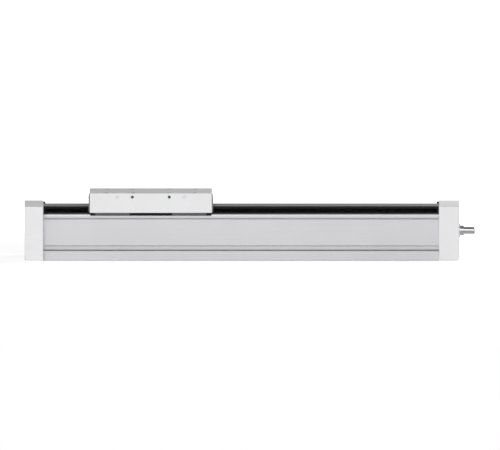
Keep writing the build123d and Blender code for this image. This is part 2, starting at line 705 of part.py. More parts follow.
def bearing_cover():
    """The flush flange that holds the fixed bearing, with a spigot inside and a boss outside."""
    spigot = FIXED_BEARING_DIAMETER / 2
    room = LOCK_NUT_DIAMETER / 2 + LOCK_NUT_ROOM
    hole = LAND_DIAMETER / 2 + LAND_GAP
    boss = DRIVE_FACE + BEARING_COVER_BOSS_LENGTH
    body = turned(
        [
            (LOCK_NUT_X, spigot),
            (LOCK_NUT_X, room),
            (BEARING_COVER_X, room),
            (BEARING_COVER_X, hole),
            (boss, hole),
            (boss, BEARING_COVER_BOSS / 2),
            (DRIVE_FACE, BEARING_COVER_BOSS / 2),
            (DRIVE_FACE, BEARING_COVER_DIAMETER / 2),
            (BEARING_COVER_X, BEARING_COVER_DIAMETER / 2),
            (BEARING_COVER_X, spigot),
        ]
    )
    for y, z in cover_screw_places():
        body -= bar_x(M3[0] + SHANK_GAP / 2, BEARING_COVER_X, DRIVE_FACE, y, z)
        body -= bar_x(M3[1] + SHANK_GAP / 2, DRIVE_FACE - M3[2], DRIVE_FACE, y, z)
    return body


def bearing_cover_screws():
    """Low head screws, flush with the bearing cover."""
    screw = Rot(0, 90, 0) * socket_screw(M3, COVER_SCREW_LENGTH)
    return [Pos(DRIVE_FACE - M3[2], y, z) * screw for y, z in cover_screw_places()]


def idle_end_cap():
    """The cap that closes the idle side bore, flush with the block."""
    return bar_x(FLOAT_BEARING_DIAMETER / 2, IDLE_FACE, IDLE_CAP_X)


def lube_plug_places():
    """Where the spare lubrication ports stand, with the y range of each plug."""
    front = (-SIDE_Y, LUBE_PLUG_DEPTH - SIDE_Y)
    rear = (SIDE_Y - LUBE_PLUG_DEPTH, SIDE_Y)
    in_front = [(x, front) for x in LUBE_SPARE_XS]
    behind = [(x, rear) for x in LUBE_SPARE_XS + LUBE_PORT_XS]
    return in_front + behind


def carriage_body():
    """The machined carriage: a ring around the cover, with a saddle under it on the runner blocks."""
    x_start = CARRIAGE_X - CARRIAGE_LENGTH / 2
    x_end = CARRIAGE_X + CARRIAGE_LENGTH / 2
    body = slab(x_start, x_end, -SIDE_Y, SIDE_Y, SKIRT_BOTTOM, CARRIAGE_TOP)
    body = chamfer(body.edges(), CARRIAGE_EDGE)
    body -= slab(x_start, x_end, -SKIRT_Y, SKIRT_Y, SKIRT_BOTTOM, CEILING)
    rib_low = COVER_UNDER - COVER_RIB_DEPTH - COVER_RIB_GAP
    rib_in = COVER_RIB_SPACING / 2 - COVER_RIB / 2 - COVER_RIB_GAP
    rib_out = COVER_RIB_SPACING / 2 + COVER_RIB / 2 + COVER_RIB_GAP
    half = [
        (POCKET_Y, NUT_POCKET_TOP),
        (POCKET_Y, RUNNER_TOP),
        (SADDLE_Y, RUNNER_TOP),
        (SADDLE_Y, WEB_UNDER),
        (SKIRT_Y, WEB_UNDER),
        (SKIRT_Y, WEB_TOP),
        (rib_out, WEB_TOP),
        (rib_out, rib_low),
        (rib_in, rib_low),
        (rib_in, WEB_TOP),
    ]
    body += prism(both_sides(half), x_start, x_end)
    groove = SIDE_SEAL_TONGUE_WIDTH / 2
    groove_ends = (x_start + SIDE_SEAL_END_INSET, x_end - SIDE_SEAL_END_INSET)
    for side in SIDES:
        low = side * SIDE_SEAL_MIDDLE - groove
        high = side * SIDE_SEAL_MIDDLE + groove
        body -= slab(*groove_ends, low, high, SKIRT_BOTTOM, SKIRT_BOTTOM + SIDE_SEAL_TONGUE)
        for x in RUNNER_SCREW_XS:
            y = side * RAIL_Y
            head = WEB_TOP - M4[2] - HEAD_GAP
            plug = CARRIAGE_TOP - ACCESS_PLUG_THICKNESS
            body -= bar_z(M4[0] + SHANK_GAP, RUNNER_TOP, WEB_TOP, x, y)
            body -= bar_z(M4[1] + HEAD_GAP, head, WEB_TOP, x, y)
            body -= bar_z(ACCESS_HOLE_RADIUS - SHANK_GAP, CEILING, CARRIAGE_TOP, x, y)
            body -= bar_z(ACCESS_HOLE_RADIUS, plug, CARRIAGE_TOP, x, y)
        for spacing in (TAP_OUTER_SPACING_X, TAP_INNER_SPACING_X):
            for end in SIDES:
                x = CARRIAGE_X + end * spacing / 2
                body -= bar_z(TAP_RADIUS, CEILING, CARRIAGE_TOP, x, side * TAP_SPACING_Y / 2)
    for x in LUBE_PORT_XS:
        body -= bar_y(LUBE_PORT_RADIUS, -SIDE_Y, LUBE_PORT_DEPTH - SIDE_Y, x, LUBE_PORT_Z)
    for x, ends in lube_plug_places():
        body -= bar_y(LUBE_PLUG_RADIUS, *ends, x, LUBE_PORT_Z)
    for x, y in bracket_screw_places():
        head = WEB_TOP - M4[2] - HEAD_GAP
        body -= bar_z(M4[0] + SHANK_GAP, NUT_POCKET_TOP, WEB_TOP, x, y)
        body -= bar_z(M4[1] + HEAD_GAP, head, WEB_TOP, x, y)
    for end, x, y in wiper_screw_places():
        ends = sorted((x, x - end * WIPER_SCREW_LENGTH))
        body -= bar_x(M3[0], *ends, y, wiper_screw_z())
    return body


def side_seal(side):
    """The seal under a side wall of the carriage, with two shallow recesses for the pads."""
    x_start = CARRIAGE_X - CARRIAGE_LENGTH / 2 + SIDE_SEAL_END_INSET
    x_end = CARRIAGE_X + CARRIAGE_LENGTH / 2 - SIDE_SEAL_END_INSET
    low = SKIRT_BOTTOM - SIDE_SEAL_DROP
    body = slab(x_start, x_end, SIDE_SEAL_INNER, SIDE_SEAL_OUTER, low, SKIRT_BOTTOM)
    tongue = SIDE_SEAL_TONGUE_WIDTH / 2 - FIT_GAP
    top = SKIRT_BOTTOM + SIDE_SEAL_TONGUE - FIT_GAP
    tongue_ends = (SIDE_SEAL_MIDDLE - tongue, SIDE_SEAL_MIDDLE + tongue)
    body += slab(x_start, x_end, *tongue_ends, SKIRT_BOTTOM, top)
    for x in RUNNER_XS:
        body -= side_pad(x)
    return body if side > 0 else mirrored(body)


def side_pad(x):
    """One pad in the outer face of the rear side seal, as long as the runner block beside it."""
    half = RUNNER_BODY_LENGTH / 2
    depth = (SIDE_SEAL_OUTER - SIDE_PAD_DEPTH, SIDE_SEAL_OUTER)
    return slab(x - half, x + half, *depth, SKIRT_BOTTOM - SIDE_SEAL_DROP, SKIRT_BOTTOM)


def side_seal_pads():
    """Grey pads let into the side seals beside the runner blocks."""
    pads = [side_pad(x) for x in RUNNER_XS]
    return pads + [mirrored(pad) for pad in pads]


def wiper_screw_z():
    """Height of the wiper screws, halfway up the wiper above the cover."""
    return (CEILING + CARRIAGE_TOP - WIPER_DROP) / 2


def wiper_screw_places():
    """The end, the x of the carriage's end face, and the y of each wiper screw."""
    half = CARRIAGE_LENGTH / 2
    return [
        (end, CARRIAGE_X + end * half, side * WIPER_SCREW_SPACING / 2)
        for end in SIDES
        for side in SIDES
    ]


def end_wiper(end):
    """A wiper plate on one end of the carriage, tapered at its top and cut out over the cover."""
    high = CARRIAGE_TOP - WIPER_DROP
    low = SKIRT_BOTTOM + SIDE_SEAL_TONGUE
    half = SIDE_Y - WIPER_SIDE_INSET
    outline = [
        (0, low),
        (WIPER_THICKNESS, low),
        (WIPER_THICKNESS, high - WIPER_TAPER_HEIGHT),
        (WIPER_THICKNESS - WIPER_TAPER, high),
        (0, high),
    ]
    section = make_face(Polyline(*outline, close=True))
    plate = Pos(0, half, 0) * extrude(Plane.XZ * section, amount=2 * half)
    opening = COVER_TOP + WIPER_COVER_GAP
    plate -= slab(0, WIPER_THICKNESS, -SKIRT_Y, SKIRT_Y, low, opening)
    place = Pos(CARRIAGE_X + end * CARRIAGE_LENGTH / 2, 0, 0)
    body = place * (plate if end > 0 else mirror(plate, about=Plane.YZ))
    for own_end, x, y in wiper_screw_places():
        if own_end == end:
            ends = sorted((x, x + end * WIPER_THICKNESS))
            body -= bar_x(M3[0] + SHANK_GAP / 2, *ends, y, wiper_screw_z())
    return body


def wiper_screws():
    """Headless screws that hold the wipers, flush with their faces."""
    bodies = []
    for end, x, y in wiper_screw_places():
        ends = sorted((x - end * WIPER_SCREW_LENGTH, x + end * WIPER_THICKNESS))
        bodies.append(bar_x(M3[0], *ends, y, wiper_screw_z()))
    return bodies


def runner_section(inset):
    """A runner block's section around the rail, pulled in by an inset."""
    low = FLOOR_Z + RUNNER_LIFT
    width = RUNNER_WIDTH - 2 * inset
    height = RUNNER_HEIGHT - inset
    block = Rectangle(width, height)
    block = chamfer(block.vertices().group_by(Axis.Y)[-1], RUNNER_EDGE)
    section = Pos(0, low + height / 2) * block
    return section - offset(rail_section(), RUNNER_RAIL_GAP, kind=Kind.INTERSECTION)


def runner_block(x, side):
    """The steel body of a runner block, tapped for two screws from above."""
    half = RUNNER_BODY_LENGTH / 2
    body = Pos(0, side * RAIL_Y, 0) * prism(runner_section(0), x - half, x + half)
    for end in SIDES:
        place = (x + end * RUNNER_SCREW_SPACING / 2, side * RAIL_Y)
        body -= bar_z(M4[0], RUNNER_TOP - RUNNER_SCREW_DEPTH, RUNNER_TOP, *place)
    return body


def runner_end_caps():
    """Plastic end caps that turn the balls round at both ends of each runner block."""
    bodies = []
    for x in RUNNER_XS:
        for end in SIDES:
            near = x + end * RUNNER_BODY_LENGTH / 2
            ends = sorted((near, near + end * RUNNER_CAP_LENGTH))
            cap = prism(runner_section(RUNNER_CAP_INSET), *ends)
            bodies += [Pos(0, side * RAIL_Y, 0) * cap for side in SIDES]
    return bodies


def runner_block_screws():
    """Screws from the saddle down into the runner blocks."""
    seat = WEB_TOP - M4[2] - HEAD_GAP
    screw = socket_screw(M4, seat - RUNNER_TOP + RUNNER_SCREW_DEPTH)
    return [Pos(x, side * RAIL_Y, seat) * screw for x in RUNNER_SCREW_XS for side in SIDES]


def access_hole_plugs():
    """Plugs in the top plate over the runner block screws."""
    low = CARRIAGE_TOP - ACCESS_PLUG_THICKNESS
    radius = ACCESS_HOLE_RADIUS - FIT_GAP
    return [
        bar_z(radius, low, CARRIAGE_TOP, x, side * RAIL_Y) for x in RUNNER_SCREW_XS for side in SIDES
    ]


def lube_port_plugs():
    """Flush plugs in the spare lubrication ports: two in front, and all four behind."""
    radius = LUBE_PLUG_RADIUS - FIT_GAP
    return [bar_y(radius, *ends, x, LUBE_PORT_Z) for x, ends in lube_plug_places()]


def nut_screw_places():
    """Four screws near the wide sides of the nut's flange."""
    radius = NUT_SCREW_CIRCLE / 2
    angle = math.radians(NUT_SCREW_ANGLE)
    y = radius * math.cos(angle)
    z = radius * math.sin(angle)
    return [(sy * y, AXIS_Z + sz * z) for sy in SIDES for sz in SIDES]


def ball_nut():
    """The flanged ball nut, with flats above and below and a recess for a wiper at each end."""
    x_start = CARRIAGE_X - NUT_LENGTH / 2
    x_end = CARRIAGE_X + NUT_LENGTH / 2
    flange_x = x_end - NUT_FLANGE_THICKNESS
    bore = SCREW_DIAMETER / 2 + NUT_RUNNING_GAP
    recess = NUT_WIPER_DIAMETER / 2
    body = turned(
        [
            (x_start, NUT_DIAMETER / 2),
            (x_start, recess),
            (x_start + NUT_WIPER_THICKNESS, recess),
            (x_start + NUT_WIPER_THICKNESS, bore),
            (x_end - NUT_WIPER_THICKNESS, bore),
            (x_end - NUT_WIPER_THICKNESS, recess),
            (x_end, recess),
            (x_end, NUT_FLANGE_DIAMETER / 2),
            (flange_x, NUT_FLANGE_DIAMETER / 2),
            (flange_x, NUT_DIAMETER / 2),
        ]
    )
    for side in SIDES:
        flat = sorted((AXIS_Z + side * NUT_FLANGE_FLAT, AXIS_Z + side * NUT_FLANGE_DIAMETER))
        reach = NUT_FLANGE_DIAMETER / 2
        body -= slab(flange_x, x_end, -reach, reach, *flat)
    for y, z in nut_screw_places():
        body -= bar_x(M4[0] + SHANK_GAP, flange_x, x_end, y, z)
        body -= bar_x(M4[1] + HEAD_GAP, x_end - M4[2], x_end, y, z)
    return body


def nut_wipers():
    """Wiper rings in both ends of the ball nut."""
    bodies = []
    for end in SIDES:
        face = CARRIAGE_X + end * NUT_LENGTH / 2
        ends = sorted((face, face - end * NUT_WIPER_THICKNESS))
        ring = bar_x(NUT_WIPER_DIAMETER / 2 - FIT_GAP, *ends)
        bodies.append(ring - bar_x(SCREW_DIAMETER / 2 + NUT_RUNNING_GAP, *ends))
    return bodies


def nut_screws():
    """Screws that hold the nut's flange to the bracket."""
    screw = Rot(0, 90, 0) * socket_screw(M4, NUT_SCREW_LENGTH)
    seat = CARRIAGE_X + NUT_LENGTH / 2 - M4[2]
    return [Pos(seat, y, z) * screw for y, z in nut_screw_places()]


def bracket_screw_places():
    """Four screws from the saddle down into the bracket, clear of the nut's bore."""
    middle = CARRIAGE_X + NUT_LENGTH / 2 - NUT_FLANGE_THICKNESS - BRACKET_THICKNESS / 2
    return [
        (middle + end * BRACKET_SCREW_SPACING_X / 2, side * BRACKET_SCREW_SPACING_Y / 2)
        for end in SIDES
        for side in SIDES
    ]


def nut_bracket():
    """The block that carries the ball nut under the saddle."""
    x_end = CARRIAGE_X + NUT_LENGTH / 2 - NUT_FLANGE_THICKNESS
    x_start = x_end - BRACKET_THICKNESS
    half = BRACKET_WIDTH / 2
    body = slab(x_start, x_end, -half, half, AXIS_Z - BRACKET_DROP, NUT_POCKET_TOP)
    lower = body.edges().filter_by(Axis.X).group_by(Axis.Z)[0]
    body = chamfer(lower, BRACKET_DROP / 2)
    body -= bar_x(NUT_DIAMETER / 2 + FIT_GAP, x_start, x_end)
    reach = x_end - (NUT_SCREW_LENGTH - NUT_FLANGE_THICKNESS + M4[2])
    for y, z in nut_screw_places():
        body -= bar_x(M4[0], reach, x_end, y, z)
    for x, y in bracket_screw_places():
        body -= bar_z(M4[0], NUT_POCKET_TOP - BRACKET_SCREW_DEPTH, NUT_POCKET_TOP, x, y)
    return body


def nut_bracket_screws():
    """Screws that hang the bracket from the saddle."""
    seat = WEB_TOP - M4[2] - HEAD_GAP
    screw = socket_screw(M4, seat - NUT_POCKET_TOP + BRACKET_SCREW_DEPTH)
    return [Pos(x, y, seat) * screw for x, y in bracket_screw_places()]


def save(name, *shapes):
    """Writes the solids of one node."""
    solids = [solid for shape in shapes for solid in shape.solids()]
    export_step(Compound(children=solids), f"parts/{name}.step")


def main():
    """Builds every node and writes it."""
    os.makedirs("parts", exist_ok=True)
    save("frame_profile", frame_profile())
    save("rail_screws", *rail_screws())
    save("rail_hole_caps", *rail_hole_caps())
    save("drive_end_block", drive_end_block())
    save("idle_end_block", idle_end_block())
    save("drive_block_screws", *end_block_screws(DRIVE_FACE, -1))
    save("idle_block_screws", *end_block_screws(IDLE_FACE, 1))
    save("stop_buffers", *stop_buffers())
    save("cover_plate", cover_plate())
    fixed = (FIXED_BEARING_X, FIXED_BEARING_WIDTH, FIXED_BEARING_BORE)
    floating = (FLOAT_BEARING_X, FLOAT_BEARING_WIDTH, FLOAT_BEARING_BORE)
    save("fixed_bearing_inner_ring", bearing_inner_ring(*fixed))
    save("fixed_bearing_outer_ring", bearing_outer_ring(*fixed, FIXED_BEARING_DIAMETER))
    save("float_bearing_inner_ring", bearing_inner_ring(*floating))
    save("float_bearing_outer_ring", bearing_outer_ring(*floating, FLOAT_BEARING_DIAMETER))
    save("bearing_balls", *bearing_balls())
    save("bearing_cover", bearing_cover())
    save("bearing_cover_screws", *bearing_cover_screws())
    save("idle_end_cap", idle_end_cap())
    save("ball_screw", ball_screw())
    save("lock_nut", lock_nut())
    save("retaining_ring", retaining_ring())
    save("carriage_body", carriage_body())
    save("side_seal_pads", *side_seal_pads())
    save("wiper_screws", *wiper_screws())
    save("runner_end_caps", *runner_end_caps())
    save("runner_block_screws", *runner_block_screws())
    save("access_hole_plugs", *access_hole_plugs())
    save("lube_port_plugs", *lube_port_plugs())
    save("ball_nut", ball_nut())
    save("nut_wipers", *nut_wipers())
    save("nut_screws", *nut_screws())
    save("nut_bracket", nut_bracket())
    save("nut_bracket_screws", *nut_bracket_screws())
    for side, side_name in zip(SIDES, ("front", "rear")):
        save(f"guide_rail_{side_name}", guide_rail(side))
        save(f"sealing_strip_{side_name}", sealing_strip(side))
        save(f"lip_seal_{side_name}", lip_seal(side))
        save(f"side_seal_{side_name}", side_seal(side))
        for x, end_name in zip(RUNNER_XS, ("idle", "drive")):
            save(f"runner_block_{side_name}_{end_name}", runner_block(x, side))
    for end, end_name in zip(SIDES, ("idle", "drive")):
        save(f"end_wiper_{end_name}", end_wiper(end))


main()
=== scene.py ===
import json
import math

import bmesh
import bpy
from mathutils import Matrix, Vector


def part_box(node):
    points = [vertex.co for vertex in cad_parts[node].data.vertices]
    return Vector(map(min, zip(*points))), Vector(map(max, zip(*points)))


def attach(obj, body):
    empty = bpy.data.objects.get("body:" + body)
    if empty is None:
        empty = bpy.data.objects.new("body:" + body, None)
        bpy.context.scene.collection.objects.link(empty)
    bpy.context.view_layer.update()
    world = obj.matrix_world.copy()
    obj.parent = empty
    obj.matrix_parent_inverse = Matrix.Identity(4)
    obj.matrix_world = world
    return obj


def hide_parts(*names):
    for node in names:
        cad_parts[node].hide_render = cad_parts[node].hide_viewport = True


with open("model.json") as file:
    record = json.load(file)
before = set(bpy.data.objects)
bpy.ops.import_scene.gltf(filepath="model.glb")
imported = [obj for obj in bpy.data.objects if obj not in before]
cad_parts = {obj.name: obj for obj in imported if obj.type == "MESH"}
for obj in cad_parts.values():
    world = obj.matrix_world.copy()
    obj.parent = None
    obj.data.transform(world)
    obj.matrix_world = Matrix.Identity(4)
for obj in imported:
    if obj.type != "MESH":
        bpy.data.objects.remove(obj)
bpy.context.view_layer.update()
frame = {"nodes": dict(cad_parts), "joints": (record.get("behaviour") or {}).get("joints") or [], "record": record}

bl_info = {
    "name": "Ball screw linear module",
    "version": (1, 0, 0),
    "blender": (4, 5, 0),
    "location": "View3D > Sidebar > Linear module",
    "description": "Dresses the linear module: threads, screws, seals, finishes and a studio",
    "category": "Object",
}

MM = 0.001
SIDES = (-1, 1)

# Places that the frame gives
SCREW_LOW, SCREW_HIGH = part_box("ball_screw")
SPIN_JOINT = next(joint for joint in frame["joints"] if joint["name"] == "screw_spin")
AXIS_Z = SPIN_JOINT["pos_m"][2]
FRAME_LOW, FRAME_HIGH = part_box("frame_profile")
CARRIAGE_LOW, CARRIAGE_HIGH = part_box("carriage_body")
CARRIAGE_X = (CARRIAGE_LOW.x + CARRIAGE_HIGH.x) / 2
DRIVE_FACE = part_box("drive_end_block")[1].x
MOUNTS = {mount["name"]: mount for mount in frame["record"]["mounts"]}

# How near points are merged, and how near a face lies to a plane that it belongs to
MERGE_DISTANCE = 0.002 * MM
ON_PLANE = 0.001 * MM
# Edges flatter than the first angle are shaded smooth, and edges sharper than the second are rounded
SMOOTH_ANGLE = math.radians(25)
ROUNDED_ANGLE = math.radians(35)

# The part of a noise's range that patterns use
NOISE_LOW, NOISE_HIGH = 0.3, 0.7
# Broad smudges of handling and oil: how wide they are in mm, and how much they lighten or dull
SMUDGE_SIZE = 45.0
SMUDGE_SHADE = 0.02

# Painted shade in the frame's grooves: how deep it starts and is full, how far below the top, and how dark it
# makes them
GROOVE_SHADE_DEPTHS = (1.4 * MM, 0.4 * MM)
GROOVE_SHADE_BELOW_TOP = (5.6 * MM, 4.6 * MM)
GROOVE_SHADE_FACTOR = 0.9

# The slope over each clamp groove, paler than the rest as painted light: how far in from the frame's side it lies,
# and its heights
CLAMP_SLOPE_DEPTHS = (0.1 * MM, 1.5 * MM)
CLAMP_SLOPE_HEIGHTS = (16.3 * MM, 17.9 * MM)

# From the module's middle, where the floor's shadow starts to fade and where it is gone, in metres
SHADOW_REACH = (0.4, 0.9)
FLOOR_SIZE = 24.0
FLOOR_COLOUR = "#E8E8E8"
# Where each lamp stands, and how wide it is, in metres
FRONT_LAMP = ((-0.25, -2.3, 0.92), 1.4)
RIGHT_LAMP = ((0.72, 0.45, 0.6), 0.8)
LEFT_LAMP = ((-0.75, -0.5, 0.2), 0.4)

# Shares and steps of small turned and moulded details
ROUND_FACETS = 64
PLUG_FACETS = 48
SET_SCREW_FACETS = 32
# Facets of the ball groove's circle, and steps for each turn of the ball groove and of a tap's thread
GROOVE_FACETS = 20
GROOVE_STEPS = 40
TAP_STEPS = 20
KNURL_TEETH = 30
HEAD_RIM_SHARE = 0.86
HEAD_TOP_SHARE = 0.93
SOCKET_DEPTH_SHARE = 0.5
# The drilled cone under a socket: its depth as a share of the socket's, and its tip's width
CONE_DEPTH_SHARE = 0.25
CONE_TIP_SHARE = 0.2
# A screw's tip: its length as a share of the shank's radius, and how far it narrows
TIP_LENGTH_SHARE = 0.25
TIP_WIDTH_SHARE = 0.7
# How much of a tap's ridge stands out of the hole's wall
RIDGE_SHARE = 0.45
SET_SCREW_KEY_SHARE = 0.75
GROOVE_RIM = 0.12 * MM
# How much narrower each step of the shaft's tip is, and how far it reaches: chamfer, centre rim, cone
SHAFT_TIP_STEPS = ((0.6 * MM, 0.6 * MM), (1.6 * MM, 0.0), (1.1 * MM, -1.4 * MM), (0.5 * MM, -0.4 * MM))
# Share of the plug's radius that each ring takes, and how far the part inside it then rises, in mm
PLUG_TOP_STEPS = ((0.08, -0.25), (0.08, 0.25), (0.54, -1.8))


def size_mm(name, description, default, least=0.0):
    """A setting for a length: given in millimetres, kept in metres."""
    return bpy.props.FloatProperty(
        name=name, description=description, default=default * MM, min=least * MM, unit="LENGTH",
    )


def hex_colour(name, description, default):
    """A setting for a colour, as an sRGB hex value."""
    return bpy.props.StringProperty(name=name, description=description, default=default)


def lamp_power(name, description, default):
    """A setting for a lamp's power in watts."""
    return bpy.props.FloatProperty(
        name=name, description=description, default=default, min=0.0, unit="POWER",
    )


def fraction(name, description, default):
    """A setting from 0 to 1."""
    return bpy.props.FloatProperty(name=name, description=description, default=default, min=0.0, max=1.0)


class ModuleSizes(bpy.types.PropertyGroup):
    """Sizes of the pieces that are modelled here."""

    edge_round: size_mm("Edge round", "How far sharp metal edges are broken where there is room", 0.25)
    block_round: size_mm("Block edge round", "The same for the end blocks", 0.45)
    rubber_round: size_mm("Rubber round", "How far the edges of rubber pieces are rounded", 0.4)
    screw_lead: size_mm("Screw lead", "Travel of the nut for one turn of the screw", 10.0, least=1.0)
    ball_radius: size_mm("Ball groove radius", "Radius of the groove that the balls run in", 1.75, least=0.1)
    groove_depth: size_mm("Ball groove depth", "How deep the groove is cut into the screw", 1.1, least=0.1)
    thread_pitch: size_mm("Tap pitch", "Pitch of the threads in the tapped holes", 1.0, least=0.2)
    thread_share: bpy.props.FloatProperty(
        name="Tap share", description="How much of a tapped hole's radius its thread takes",
        default=0.13, min=0.02, max=0.4, subtype="FACTOR",
    )
    thread_gap: size_mm("Thread gap", "How far the screw's thread stays inside the frame's ends", 2.5)
    fixed_seat: size_mm("Fixed seat", "Diameter of the shaft in the fixed bearing", 12.0, least=1.0)
    float_seat: size_mm("Floating seat", "Diameter of the shaft in the floating bearing", 10.0, least=1.0)
    shoulder_rise: size_mm("Shoulder rise", "How far the bearing shoulders stand over the seats", 1.0)
    ring_groove: size_mm("Ring groove", "Depth of the retaining ring's groove", 0.4)
    land: size_mm("Land", "Diameter of the shaft in the bearing cover", 11.0, least=1.0)
    land_length: size_mm("Land length", "How far the land stands out of the drive end block", 5.2)
    journal: size_mm("Journal", "Diameter of the drive journal", 8.0, least=1.0)
    m5_head: size_mm("M5 head", "Head radius of the end block screws", 4.25, least=1.0)
    m5_height: size_mm("M5 head height", "Head height of the end block screws", 5.0, least=1.0)
    m5_shank: size_mm("M5 shank", "Shank radius of the end block screws", 2.5, least=0.5)
    m5_key: size_mm("M5 key", "Width of the end block screws' sockets", 4.0, least=0.5)
    m3_head: size_mm("M3 head", "Head radius of the bearing cover screws", 2.75, least=0.5)
    m3_height: size_mm("M3 head height", "Head height of the bearing cover screws", 1.7, least=0.5)
    m3_shank: size_mm("M3 shank", "Shank radius of the small screws", 1.5, least=0.5)
    m3_key: size_mm("M3 key", "Width of the bearing cover screws' sockets", 2.0, least=0.5)
    knurl: size_mm("Knurl depth", "Depth of the knurl on the socket heads", 0.16)
    carriage_tap_depth: size_mm(
        "Carriage tap depth", "Length of thread in the carriage's top", 13.5, least=1.0,
    )
    motor_tap_depth: size_mm("Motor tap depth", "Length of thread in the drive end block", 9.5, least=1.0)
    port_tap_depth: size_mm("Port tap depth", "Length of thread in the lubrication ports", 7.5, least=1.0)


class ModuleFinishes(bpy.types.PropertyGroup):
    """Colours of the finishes, as sRGB hex values."""

    profile: hex_colour("Profile", "Natural anodised extrusion", "#C4C4C6")
    cover: hex_colour("Cover", "Anodised cover plate", "#7F7F81")
    block: hex_colour("Blocks", "Blasted and anodised blocks and carriage", "#F1F1F2")
    # On the frame's clamp slopes the milled colour is painted light
    milled: hex_colour("Milled faces", "Milled and anodised carriage top, plugs and slopes", "#E3E3E4")
    # The thread colour is darker partly for the oil and partly as painted shade in the holes
    cut_thread_and_hole_shade: hex_colour("Cut thread", "Oily aluminium in the tapped holes", "#6A6A6C")
    steel: hex_colour("Steel", "Ground and hardened steel", "#8E8E90")
    nut_steel: hex_colour("Block steel", "Steel of the runner blocks and the nut", "#A9A9AB")
    black_screw: hex_colour("Screws", "Black oxide on steel screws", "#2C2C2E")
    rubber: hex_colour("Rubber", "Black polyurethane of seals and buffers", "#262627")
    # The upper strips are a darker copy of the lips' rubber: painted shade
    strip_rubber_painted_shade: hex_colour("Strip rubber", "Deep black polyurethane of the upper strips", "#070708")
    grey_plastic: hex_colour("Grey plastic", "Pads in the side seals", "#565658")
    wiper_plastic: hex_colour("Wiper plastic", "Pale grey wipers on the carriage's ends", "#7E7E81")
    black_plastic: hex_colour("Black plastic", "Moulded caps", "#262628")


class ModuleStage(bpy.types.PropertyGroup):
    """The camera and the light."""

    elevation: bpy.props.FloatProperty(
        name="Elevation", description="How far the camera looks down",
        default=math.radians(2.95), subtype="ANGLE",
    )
    distance: bpy.props.FloatProperty(
        name="Camera distance", description="How far the camera stands from the module's middle",
        default=2.0, min=0.5, unit="LENGTH",
    )
    picture_width: bpy.props.FloatProperty(
        name="Picture width", description="Width of what the picture shows",
        default=0.565, min=0.1, unit="LENGTH",
    )
    picture_x: bpy.props.FloatProperty(
        name="Picture middle along the travel",
        description="Where the picture's middle lies along the module",
        default=10.06 * MM, unit="LENGTH",
    )
    picture_z: bpy.props.FloatProperty(
        name="Picture middle height", description="How high above the floor the picture's middle lies",
        default=37.8 * MM, unit="LENGTH",
    )
    front_light: lamp_power("Front light", "Power of the large light behind the camera", 27.8)
    right_light: lamp_power("Right light", "Power of the light over the drive end", 5.0)
    left_light: lamp_power("Left light", "Power of the small light near the idle end", 0.6)
    room_light: bpy.props.FloatProperty(
        name="Room light", description="Strength of the even light from all round",
        default=0.105, min=0.0,
    )
    mirrored_room: fraction("Mirrored room", "How bright the white room is in reflections", 0.5)
    mirrored_floor: fraction("Mirrored floor", "How bright the floor is in reflections", 1.0)
    floor_lift: fraction("Floor lift", "How white the floor is in the module's shadow", 0.66)


def linear(hex_text):
    """Turns an sRGB hex colour into linear red, green, blue and alpha."""
    channels = [int(hex_text[i:i + 2], 16) / 255 for i in (1, 3, 5)]
    curve = [c / 12.92 if c <= 0.04045 else ((c + 0.055) / 1.055) ** 2.4 for c in channels]
    return (*curve, 1.0)


def shade(hex_text, factor):
    """A linear colour made lighter or darker by a factor."""
    return (*[min(c * factor, 1.0) for c in linear(hex_text)[:3]], 1.0)


def add(tree, kind, inputs=None, **settings):
    """Adds a node, sets its properties and fills its inputs with values or links."""
    node = tree.nodes.new(kind)
    for name, value in settings.items():
        setattr(node, name, value)
    for key, value in (inputs or {}).items():
        if isinstance(value, bpy.types.NodeSocket):
            tree.links.new(value, node.inputs[key])
        else:
            node.inputs[key].default_value = value
    return node


def painted_groove_shade(tree, place):
    """A factor that darkens the grooves in the frame's sides: painted shade."""
    parts = add(tree, "ShaderNodeSeparateXYZ", {"Vector": place.outputs["Object"]})
    across = add(tree, "ShaderNodeMath", {0: parts.outputs["Y"]}, operation="ABSOLUTE")
    low_down = add(
        tree, "ShaderNodeMapRange",
        {"Value": parts.outputs["Z"], "From Min": FRAME_HIGH.z - GROOVE_SHADE_BELOW_TOP[0],
         "From Max": FRAME_HIGH.z - GROOVE_SHADE_BELOW_TOP[1], "To Min": GROOVE_SHADE_FACTOR, "To Max": 1.0},
    )
    deep_in = add(
        tree, "ShaderNodeMapRange",
        {"Value": across.outputs["Value"], "From Min": FRAME_HIGH.y - GROOVE_SHADE_DEPTHS[0],
         "From Max": FRAME_HIGH.y - GROOVE_SHADE_DEPTHS[1], "To Min": low_down.outputs["Result"], "To Max": 1.0},
    )
    return deep_in.outputs["Result"]


